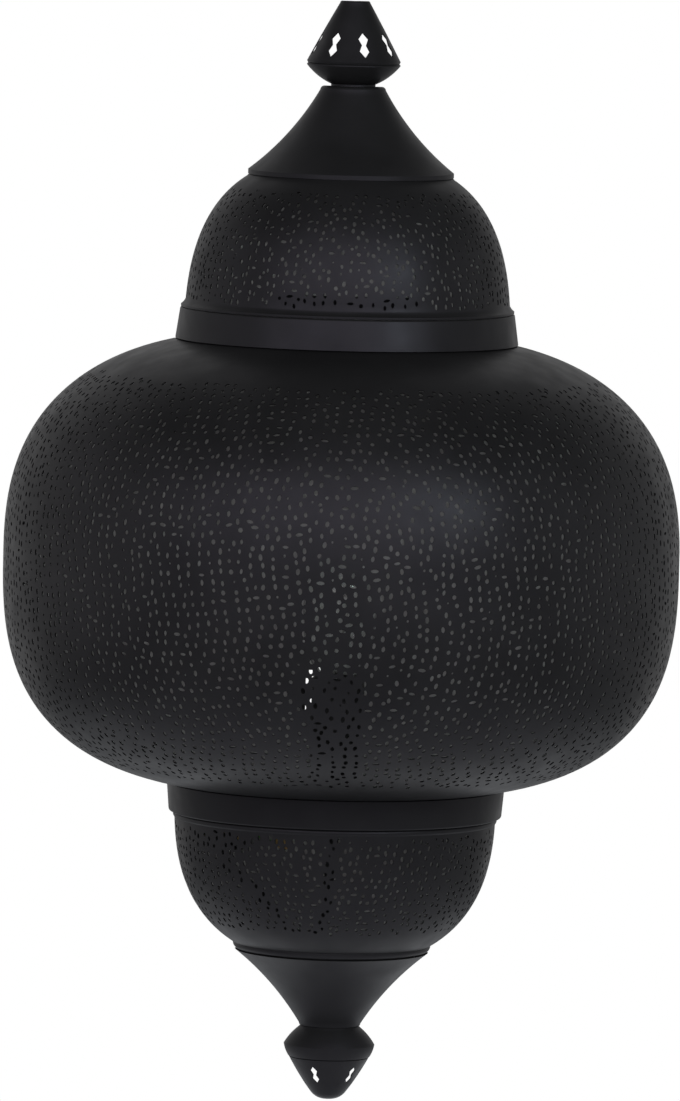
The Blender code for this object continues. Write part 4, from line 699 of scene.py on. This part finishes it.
def inside_polygon(x, y, polygon):
    """Whether a point lies in a polygon, by counting crossings."""
    inside = False
    for (x0, y0), (x1, y1) in zip(polygon, polygon[1:] + polygon[:1]):
        if (y0 > y) != (y1 > y) and x < x0 + (x1 - x0) * (y - y0) / (y1 - y0):
            inside = not inside
    return inside


def pierced_shell(name, profile, stretch, holes, columns):
    """Sheet-metal half shell with holes: a flat triangulation of its unrolled sheet, wrapped round."""
    start, end = stretch
    scale = (profile.radius(start) + profile.radius(end)) / 2
    points, edges, owner = [], [], []

    def add(turn, run, hole):
        points.append(Vector((turn * scale, run)))
        owner.append(hole)

    for run in profile.runs:
        if start < run < end:
            add(-math.pi / 2, run, NO_HOLE)
            add(math.pi / 2, run, NO_HOLE)
            continue
        first = len(points)
        for column in range(columns + 1):
            add(math.pi * (column / columns - 0.5), run, NO_HOLE)
        edges += [(first + column, first + column + 1) for column in range(columns)]
    for number, hole in enumerate(holes):
        first = len(points)
        for turn, run in hole:
            add(turn, run, number)
        edges += [(first + k, first + (k + 1) % len(hole)) for k in range(len(hole))]
    # output type 0 is every triangle within the points' hull
    flat, _, faces, origins, _, _ = delaunay_2d_cdt(points, edges, [], 0, MERGE_DISTANCE, True)
    owners = [max(owner[o] for o in origin) if origin else NO_HOLE for origin in origins]
    kept = []
    for face in faces:
        hole = owners[face[0]]
        if hole != NO_HOLE and all(owners[corner] == hole for corner in face):
            x = sum(flat[corner].x for corner in face) / 3 / scale
            y = sum(flat[corner].y for corner in face) / 3
            if inside_polygon(x, y, holes[hole]):
                continue
        kept.append(tuple(face))
    return wrap_shell(name, profile, flat, scale, kept, stretch)


def wrap_shell(name, profile, flat, scale, kept, stretch):
    """Wrap kept triangles of an unrolled sheet into an outer and an inner skin and join their edges."""
    turns = np.array([point.x for point in flat]) / scale
    runs = np.array([point.y for point in flat])
    count = len(flat)
    skins = []
    for skin in (profile.outer, profile.inner):
        radius, height = profile.at(runs, skin)
        skins.append(np.column_stack([radius * np.sin(turns), AXIS_Y - radius * np.cos(turns), height]))
    places = np.concatenate(skins)
    directed = set()
    for a, b, c in kept:
        directed.update(((a, b), (b, c), (c, a)))
    walls = [(a, b, b + count, a + count) for a, b in sorted(directed) if (b, a) not in directed]
    outer = [(c, b, a) for a, b, c in kept]
    inner = [(a + count, b + count, c + count) for a, b, c in kept]
    mesh = bpy.data.meshes.new(name)
    mesh.from_pydata(places.tolist(), [], outer + inner + walls)
    mesh.validate()
    mesh.shade_smooth()
    mesh.set_sharp_from_angle(angle=SHARP_ANGLE)
    set_sheet_normals(mesh, profile, turns, runs, len(outer + inner), stretch)
    return finished(name, mesh, "shade")


def set_sheet_normals(mesh, profile, turns, runs, triangles, stretch):
    """Shade the two skins' triangles along a pierced stretch as the sheet itself faces."""
    across, up = profile.facing(runs)
    outward = np.column_stack([across * np.sin(turns), -across * np.cos(turns), up])
    outward = np.concatenate([outward, -outward])
    corners = np.zeros(len(mesh.loops), np.int32)
    mesh.loops.foreach_get("vertex_index", corners)
    normals = np.zeros(len(mesh.loops) * 3, np.float32)
    mesh.corner_normals.foreach_get("vector", normals)
    normals = normals.reshape(-1, 3)
    on_skin = np.arange(len(corners)) < 3 * triangles
    margin = HOLE_ROW_SPACING / 2
    corner_runs = np.concatenate([runs, runs])[corners]
    within = (corner_runs > stretch[0] + margin) & (corner_runs < stretch[1] - margin)
    normals[on_skin & within] = outward[corners[on_skin & within]]
    mesh.normals_split_custom_set(normals.tolist())


def finished(name, mesh, body, slot="black_paint"):
    """A mesh as a piece that rides on a body, in the look of a material slot."""
    mesh.materials.append(LOOKS[slot])
    made = bpy.data.objects.new(name, mesh)
    bpy.context.scene.collection.objects.link(made)
    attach(made, body)
    return made


def plain_shell(name, outline, columns):
    """Sheet-metal half shell without holes."""
    turns = [math.pi * (column / columns - 0.5) for column in range(columns + 1)]
    places, faces = [], []
    for section in (outline, inner_outline(outline, SHEET)):
        for radius, height in section:
            places += [on_turn(radius, height, turn) for turn in turns]
    wide, rows = columns + 1, len(outline)
    under = wide * rows

    def corner(row, column, inside):
        return row * wide + column + (under if inside else 0)

    for row in range(rows - 1):
        for column in range(columns):
            ring = [(row, column), (row, column + 1), (row + 1, column + 1), (row + 1, column)]
            faces.append([corner(r, c, False) for r, c in reversed(ring)])
            faces.append([corner(r, c, True) for r, c in ring])
    for row, flip in ((0, False), (rows - 1, True)):
        for column in range(columns):
            ring = [
                corner(row, column, False), corner(row, column + 1, False),
                corner(row, column + 1, True), corner(row, column, True),
            ]
            faces.append(ring[::-1] if flip else ring)
    for column, flip in ((0, True), (columns, False)):
        for row in range(rows - 1):
            ring = [
                corner(row, column, False), corner(row + 1, column, False),
                corner(row + 1, column, True), corner(row, column, True),
            ]
            faces.append(ring[::-1] if flip else ring)
    mesh = bpy.data.meshes.new(name)
    mesh.from_pydata(places, [], faces)
    mesh.shade_smooth()
    mesh.set_sharp_from_angle(angle=SHARP_ANGLE)
    return finished(name, mesh, "shade")


def pierced_levels(node, margins):
    """Levels between which a dome is pierced, within its plain margins at top and foot."""
    _, top, foot = size(node)
    return top - margins[0], foot + margins[1]


def make_pierced_sheets():
    dome_levels = pierced_levels("upper_dome", DOME_PIERCED_MARGIN)
    bowl_levels = pierced_levels("lower_dome", BOWL_PIERCED_MARGIN)
    for node, name, outline, levels, seed, fineness in (
        ("body_shell", "pierced_body", body_outline(), BODY_PIERCED, BODY_SEED, BODY_FINENESS),
        ("upper_dome", "pierced_upper_dome", dome_outline(), dome_levels, DOME_SEED, DOME_FINENESS),
        ("lower_dome", "pierced_lower_dome", bowl_outline(), bowl_levels, BOWL_SEED, DOME_FINENESS),
    ):
        profile = Profile(outline)
        stretch = [profile.run_at(level) for level in levels]
        holes = scatter_holes(profile, *stretch, seed, fineness)
        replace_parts(pierced_shell(name, profile, stretch, holes, SHELL_COLUMNS), node)


def make_finial_tips():
    for node, name, outline, (turns, drop, scale) in (
        ("top_finial_tip", "cut_top_tip", finial_tip_outline(), TIP_CUTOUTS),
        ("bottom_finial_tip", "cut_bottom_tip", drop_tip_outline(), DROP_CUTOUTS),
    ):
        profile = Profile(outline)
        level = size(node)[1] - drop
        half = LOZENGE_HEIGHT / 2 * scale + CUTOUT_MARGIN
        stretch = [profile.run_at(level + half), profile.run_at(level - half)]
        holes = lozenge_cutouts(profile, level, turns, scale)
        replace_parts(pierced_shell(name, profile, stretch, holes, SMALL_COLUMNS), node)


def make_plain_sheets():
    for node, outline, columns in (
        ("upper_collar", upper_collar_outline(), SHELL_COLUMNS),
        ("upper_cone", cone_outline(), SHELL_COLUMNS),
        ("top_finial_cup", finial_cup_outline(), SMALL_COLUMNS),
        ("lower_collar", lower_collar_outline(), SHELL_COLUMNS),
        ("lower_cone", foot_outline(), SHELL_COLUMNS),
        ("bottom_finial_cup", drop_cup_outline(), SMALL_COLUMNS),
    ):
        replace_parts(plain_shell("smooth_" + node, outline, columns), node)


# Turned pieces inside the shade, rounder than the solids and with their threads
TURNED_COLUMNS = 56
TURNED_SHARP_ANGLE = math.radians(50)
HOLDER_WALL = 0.0013
HOLDER_SPIGOT = 0.0040
HOLDER_CAP_BAND = 0.0030
HOLDER_CAP_FLOOR = 0.0030
HOLDER_CAP_FOOT_RADIUS = 0.0085
HOLDER_CAP_CROWN = math.radians(30)
HOLDER_CAP_STEPS = 8
CORE_FLOOR = 0.0040
SLEEVE_SHEET = 0.0004
NIPPLE_BORE = 0.0035
CAP_WALL = 0.0005
CAP_FLARE = 0.0004
CAP_FOOT = 0.0015
BULB_NECK_RADIUS = 0.0061
BULB_NECK_LENGTH = 0.0060
BULB_BELLY_RISE = 0.0310
BULB_TIP_RADIUS = 0.0012
BULB_CHEEK = math.radians(50)
BULB_CROWN = math.radians(64)
BULB_STEPS = 16
GLASS_WALL = 0.0008
# pitch and depth of the threads, and rows of faces to a turn of them
LAMP_THREAD = (0.00282, 0.0004)
SLEEVE_THREAD = (0.00282, 0.0003)
NIPPLE_THREAD = (0.0010, 0.0004)
THREAD_ROWS = 8


def thread_run(radius, top, bottom, thread):
    """Rows down a threaded wall as (radius, height, groove's depth), fading out at both ends."""
    pitch, depth = thread
    rows = round(THREAD_ROWS * (top - bottom) / pitch)
    run = []
    for row in range(rows + 1):
        height = top + (bottom - top) * row / rows
        to_end = min(top - height, height - bottom) / pitch
        run.append((radius, height, depth * min(1.0, to_end)))
    return run


def thinner(run, wall):
    """The rows of a wall's inside, from its foot back up."""
    return [(radius - wall, *rest) for radius, *rest in reversed(run)]


def turned(node, section, body, pitch=1.0):
    """A full turned piece in a node's place; its section is a ring's, or ends on the axis."""
    low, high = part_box(node)
    middle = (low + high) / 2
    places, rings, faces = [], [], []
    for radius, height, *groove in section:
        first = len(places)
        if radius == 0:
            rings.append([first] * TURNED_COLUMNS)
            places.append((middle.x, middle.y, height))
            continue
        rings.append(list(range(first, first + TURNED_COLUMNS)))
        for column in range(TURNED_COLUMNS):
            turn = 2 * math.pi * column / TURNED_COLUMNS
            wave = 0.5 - 0.5 * math.cos(2 * math.pi * height / pitch - turn)
            here = radius - sum(groove) * wave
            places.append((middle.x + here * math.cos(turn), middle.y + here * math.sin(turn), height))
    pairs = list(zip(rings, rings[1:]))
    if section[0][0] > 0:
        pairs.append((rings[-1], rings[0]))
    for upper, lower in pairs:
        for column in range(TURNED_COLUMNS):
            following = (column + 1) % TURNED_COLUMNS
            corners = (upper[column], lower[column], lower[following], upper[following])
            faces.append(list(dict.fromkeys(corners)))
    mesh = bpy.data.meshes.new(node)
    mesh.from_pydata(places, [], faces)
    mesh.shade_smooth()
    mesh.set_sharp_from_angle(angle=TURNED_SHARP_ANGLE)
    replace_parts(finished("turned_" + node, mesh, body, SLOTS[node]), node)


def make_lampholder():
    nipple_radius, nipple_top, nipple_bottom = size("threaded_nipple")
    nipple = thread_run(nipple_radius, nipple_top, nipple_bottom, NIPPLE_THREAD)
    nipple += [(NIPPLE_BORE, nipple_bottom), (NIPPLE_BORE, nipple_top)]
    turned("threaded_nipple", nipple, "wall_unit", NIPPLE_THREAD[0])

    radius, top, bottom = size("holder_shell")
    bore = radius - HOLDER_WALL
    shell = top_edge(radius, top) + [(radius, bottom), (bore, bottom), (bore, top)]
    turned("holder_shell", shell, "wall_unit")

    spigot_top, foot = size("holder_cap")[1:]
    shelf = spigot_top - HOLDER_SPIGOT
    spigot = bore - SEAT
    room = nipple_radius + SEAT
    band_foot = (radius, shelf - HOLDER_CAP_BAND)
    side = arc(band_foot, (HOLDER_CAP_FOOT_RADIUS, foot), -HOLDER_CAP_CROWN, HOLDER_CAP_STEPS)
    cap = [(spigot, spigot_top), (spigot, shelf), (radius, shelf)] + side
    cap += [(room, foot), (room, foot + HOLDER_CAP_FLOOR)]
    cap += [(spigot - HOLDER_WALL, shelf - EDGE_ROUND), (spigot - HOLDER_WALL, spigot_top)]
    turned("holder_cap", cap, "wall_unit")

    sleeve_radius, sleeve_top, sleeve_foot = size("holder_sleeve")
    sleeve = thread_run(sleeve_radius, sleeve_top, sleeve_foot, SLEEVE_THREAD)
    turned("holder_sleeve", sleeve + thinner(sleeve, SLEEVE_SHEET), "wall_unit", SLEEVE_THREAD[0])

    core_radius, top, bottom = size("holder_core")
    floor_level = bottom + CORE_FLOOR
    core = top_edge(core_radius, top)
    core += [(core_radius, bottom), (NIPPLE_BORE, bottom), (NIPPLE_BORE, floor_level)]
    core += [(sleeve_radius + SEAT, floor_level), (sleeve_radius + SEAT, top)]
    turned("holder_core", core, "wall_unit")


def make_bulb():
    radius, tip, end = size("bulb_glass")
    neck = end + BULB_NECK_LENGTH
    belly = (radius, neck + BULB_BELLY_RISE)
    crown = arc((BULB_TIP_RADIUS, tip), belly, -BULB_CROWN, BULB_STEPS)
    cheek = arc(belly, (BULB_NECK_RADIUS, neck), -BULB_CHEEK, BULB_STEPS)
    outside = crown + cheek[1:] + [(BULB_NECK_RADIUS, end)]
    inside = inner_outline(outside, GLASS_WALL)[1:]
    turned("bulb_glass", [(0, tip)] + outside + inside[::-1] + [(0, tip - 2 * GLASS_WALL)], "bulb")

    flare_radius, top, bottom = size("bulb_cap")
    radius = flare_radius - CAP_FLARE
    wall = [(flare_radius, top), (radius, top - EDGE_ROUND)]
    wall += thread_run(radius, end - SEAT, bottom + CAP_FOOT, LAMP_THREAD)
    wall += [(radius - CAP_FOOT, bottom)]
    turned("bulb_cap", wall + thinner(wall, CAP_WALL), "bulb", LAMP_THREAD[0])


# Lead inside the lamp
FLEX_RADIUS = 0.0026
FLEX_ENTRY = 0.0036
FLEX_STEPS = 8
FLEX_RESOLUTION = 6


def smooth_route(points, steps):
    """Points along a smooth curve that passes through each route point."""
    line = [Vector(point) for point in points]
    line = [2 * line[0] - line[1], *line, 2 * line[-1] - line[-2]]
    route = []
    for index in range(1, len(line) - 2):
        a, b, c, d = line[index - 1 : index + 3]
        bend = 2 * a - 5 * b + 4 * c - d
        twist = 3 * b - a - 3 * c + d
        for step in range(steps):
            t = step / steps
            route.append(0.5 * (2 * b + (c - a) * t + bend * t**2 + twist * t**3))
    route.append(line[-2])
    return route


def make_flex():
    """Lead from the lampholder: down through the nipple, round, and up to the terminal block."""
    nipple_low, nipple_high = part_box("threaded_nipple")
    lamp_y = (nipple_low.y + nipple_high.y) / 2
    block_low, block_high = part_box("terminal_block")
    block_x = (block_low.x + block_high.x) / 2
    entry_y = AXIS_Y - FLEX_ENTRY
    # the ends follow the nipple and the block, and the points between them are chosen
    route = [
        (0, lamp_y, nipple_high.z - SEAT),
        (0, lamp_y, nipple_low.z),
        (0, lamp_y, -0.1360),
        (-0.0010, -0.0580, -0.1500),
        (-0.0025, -0.0500, -0.1650),
        (-0.0030, -0.0410, -0.1790),
        (-0.0055, -0.0330, -0.1890),
        (-0.0135, -0.0275, -0.1945),
        (-0.0225, -0.0245, -0.1915),
        (-0.0285, -0.0225, -0.1840),
        (-0.0360, -0.0205, -0.1760),
        (-0.0440, -0.0180, -0.1690),
        (-0.0520, -0.0130, -0.1635),
        (-0.0568, -0.0075, -0.1590),
        (block_x, entry_y, block_low.z - FLEX_RADIUS),
        (block_x, entry_y, block_low.z - SLIP),
    ]
    line = smooth_route(route, FLEX_STEPS)
    curve = bpy.data.curves.new("holder_lead", "CURVE")
    curve.dimensions = "3D"
    curve.bevel_depth = FLEX_RADIUS
    curve.bevel_resolution = FLEX_RESOLUTION
    curve.use_fill_caps = True
    spline = curve.splines.new("POLY")
    spline.points.add(len(line) - 1)
    for point, place in zip(spline.points, line):
        point.co = (*place, 1.0)
    curve.materials.append(LOOKS["cord_black"])
    lead = bpy.data.objects.new("holder_lead", curve)
    bpy.context.scene.collection.objects.link(lead)
    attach(lead, "wall_unit")
    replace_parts(lead, "lamp_flex")


# Floor
FLOOR_LEVEL = -0.45
FLOOR_RADIUS = 1.15
FLOOR_SIDES = 96
# distances from the lamp's middle between which the floor's painted glow in reflections greys, and the
# grey's level
PAINTED_GLOW_FADE = (0.55, 0.90)
PAINTED_GLOW_FAR = 0.25
PAINTED_GLOW_COLOUR = (0.94, 0.97, 1.0, 1.0)


def pale_floor():
    """Pale and matt, clear from below; in reflections it glows as painted light, white near the lamp and
    greying away from it.
    """
    look = Look("pale_floor", (0.80, 0.80, 0.79), 0.8)
    look.tint(look.noise(6, detail=4), (0.78, 0.78, 0.77), (0.82, 0.82, 0.81))
    place = look.node("ShaderNodeTexCoord")
    reach = look.node("ShaderNodeVectorMath")
    reach.operation = "LENGTH"
    start, end = PAINTED_GLOW_FADE
    fade = look.node("ShaderNodeMapRange", From_Min=start, From_Max=end, To_Min=1, To_Max=PAINTED_GLOW_FAR)
    # painted light: an emission that only reflections see, white near the lamp and greying away from it
    glow = look.node("ShaderNodeEmission", Color=PAINTED_GLOW_COLOUR)
    path = look.node("ShaderNodeLightPath")
    mix = look.node("ShaderNodeMixShader")
    look.link(place.outputs["Object"], reach.inputs[0])
    look.link(reach.outputs["Value"], fade.inputs["Value"])
    look.link(fade.outputs["Result"], glow.inputs["Strength"])
    look.link(path.outputs["Is Glossy Ray"], mix.inputs["Fac"])
    look.link(look.shader.outputs["BSDF"], mix.inputs[1])
    look.link(glow.outputs["Emission"], mix.inputs[2])
    side = look.node("ShaderNodeNewGeometry")
    clear = look.node("ShaderNodeBsdfTransparent")
    one_sided = look.node("ShaderNodeMixShader")
    look.link(side.outputs["Backfacing"], one_sided.inputs["Fac"])
    look.link(mix.outputs["Shader"], one_sided.inputs[1])
    look.link(clear.outputs["BSDF"], one_sided.inputs[2])
    look.link(one_sided.outputs["Shader"], look.tree.nodes["Material Output"].inputs["Surface"])
    look.material.cycles.emission_sampling = "NONE"
    return look.material


def make_floor():
    ring = [2 * math.pi * side / FLOOR_SIDES for side in range(FLOOR_SIDES)]
    places = [(FLOOR_RADIUS * math.cos(t), FLOOR_RADIUS * math.sin(t), FLOOR_LEVEL) for t in ring]
    mesh = bpy.data.meshes.new("floor")
    mesh.from_pydata(places, [], [list(range(FLOOR_SIDES))])
    mesh.materials.append(pale_floor())
    floor = bpy.data.objects.new("floor", mesh)
    bpy.context.scene.collection.objects.link(floor)


# World: a grey room, darker overhead, with a white backdrop behind the lamp
ROOM_COLOUR = (0.99, 0.99, 1.0)
# levels at the horizon and overhead, of the room's light and in gloss
ROOM_LEVELS = (0.50, 0.25)
GLOSS_LEVELS = (0.28, 0.06)
# level of the backdrop in gloss, and the direction towards it
BACKDROP_GLOSS = 0.55
BACKDROP_TOWARDS = (-0.17, 0.985, 0)
# shares of a direction, upwards and towards the backdrop, between which one fades into the other
OVERHEAD_FADE = (0.15, 0.75)
BACKDROP_FADE = (0.25, 0.90)


def make_world():
    """White where it is seen directly or through glass, the backdrop in gloss, a grey room otherwise."""
    world = bpy.data.worlds.new("studio")
    bpy.context.scene.world = world
    world.use_nodes = True
    tree = world.node_tree
    tree.nodes.clear()
    links = tree.links
    path = tree.nodes.new("ShaderNodeLightPath")
    direction = tree.nodes.new("ShaderNodeTexCoord")
    parts = tree.nodes.new("ShaderNodeSeparateXYZ")
    links.new(direction.outputs["Generated"], parts.inputs[0])

    def background(colour):
        made = tree.nodes.new("ShaderNodeBackground")
        made.inputs["Color"].default_value = (*colour, 1.0)
        return made

    def fade(value, limits, first, last):
        made = tree.nodes.new("ShaderNodeMapRange")
        made.interpolation_type = "SMOOTHSTEP"
        made.inputs["From Min"].default_value, made.inputs["From Max"].default_value = limits
        made.inputs["To Min"].default_value, made.inputs["To Max"].default_value = first, last
        links.new(value, made.inputs["Value"])
        return made.outputs["Result"]

    def room(levels):
        made = background(ROOM_COLOUR)
        links.new(fade(parts.outputs["Z"], OVERHEAD_FADE, *levels), made.inputs["Strength"])
        return made.outputs[0]

    def towards(aim):
        made = tree.nodes.new("ShaderNodeVectorMath")
        made.operation = "DOT_PRODUCT"
        made.inputs[1].default_value = aim
        links.new(direction.outputs["Generated"], made.inputs[0])
        return made.outputs["Value"]

    def mix(factor, first, second):
        made = tree.nodes.new("ShaderNodeMixShader")
        links.new(factor, made.inputs["Fac"])
        links.new(first, made.inputs[1])
        links.new(second, made.inputs[2])
        return made.outputs[0]

    clear = tree.nodes.new("ShaderNodeMath")
    clear.operation = "MAXIMUM"
    links.new(path.outputs["Is Camera Ray"], clear.inputs[0])
    links.new(path.outputs["Is Transmission Ray"], clear.inputs[1])
    white = background((1, 1, 1)).outputs[0]
    pale = background((BACKDROP_GLOSS,) * 3).outputs[0]
    gloss = mix(fade(towards(BACKDROP_TOWARDS), BACKDROP_FADE, 0, 1), room(GLOSS_LEVELS), pale)
    rest = mix(path.outputs["Is Glossy Ray"], room(ROOM_LEVELS), gloss)
    output = tree.nodes.new("ShaderNodeOutputWorld")
    links.new(mix(clear.outputs[0], rest, white), output.inputs["Surface"])


# Softboxes that look at the lamp: azimuth 0 stands in front of it and 90 on the picture's right
LIGHT_AIM = (0, -0.1, 0)
# azimuth and elevation in degrees, distance, width, height, power in watts, colour
LIGHTS = {
    "key_softbox": (39, 23, 2.6, 0.6, 0.45, 14.5, (0.80, 1.0, 0.94)),
    "front_softbox": (-2, 24, 3.0, 7.4, 2.2, 132, (0.98, 0.96, 1.0)),
    "left_softbox": (-88, 8, 2.6, 2.4, 2.2, 7, (1, 1, 1)),
    "right_softbox": (98, 4, 2.6, 2.0, 2.0, 4, (1, 1, 1)),
}


def make_light(name, azimuth, elevation, distance, width, height, power, colour):
    light = bpy.data.lights.new(name, "AREA")
    light.shape = "RECTANGLE"
    light.size = width
    light.size_y = height
    light.energy = power
    light.color = colour
    made = bpy.data.objects.new(name, light)
    a, e = math.radians(azimuth), math.radians(elevation)
    back = Vector((math.sin(a) * math.cos(e), -math.cos(a) * math.cos(e), math.sin(e)))
    made.location = Vector(LIGHT_AIM) + back * distance
    made.rotation_mode = "QUATERNION"
    made.rotation_quaternion = (-back).to_track_quat("-Z", "Y")
    made.visible_camera = False
    bpy.context.scene.collection.objects.link(made)


# Camera: the picture is taller than wide, so its height fills the sensor's width
SENSOR = 36.0
PICTURE_HEIGHT = 1101
FOCAL_PIXELS = 10906
CAMERA_DISTANCE = 5.6321244
CAMERA_HEIGHT = 0.4614
CAMERA_SIDE = -0.00078
CAMERA_PITCH = math.radians(4.6468)
CAMERA_ROLL = math.radians(1.45)
CAMERA_REACH = 100


def make_camera():
    data = bpy.data.cameras.new("camera")
    data.sensor_width = SENSOR
    data.lens = FOCAL_PIXELS * SENSOR / PICTURE_HEIGHT
    data.clip_end = CAMERA_REACH
    camera = bpy.data.objects.new("camera", data)
    tilt = Matrix.Rotation(math.pi / 2 - CAMERA_PITCH, 4, "X")
    roll = Matrix.Rotation(CAMERA_ROLL, 4, "Z")
    place = Matrix.Translation((CAMERA_SIDE, -CAMERA_DISTANCE, CAMERA_HEIGHT))
    camera.matrix_world = place @ tilt @ roll
    bpy.context.scene.collection.objects.link(camera)
    bpy.context.scene.camera = camera
    bpy.context.scene.view_settings.view_transform = "Standard"


make_camera()
make_flex()
dress_solids()
make_pierced_sheets()
make_finial_tips()
make_plain_sheets()
make_lampholder()
make_bulb()
make_floor()
make_world()
for light_name, settings in LIGHTS.items():
    make_light(light_name, *settings)
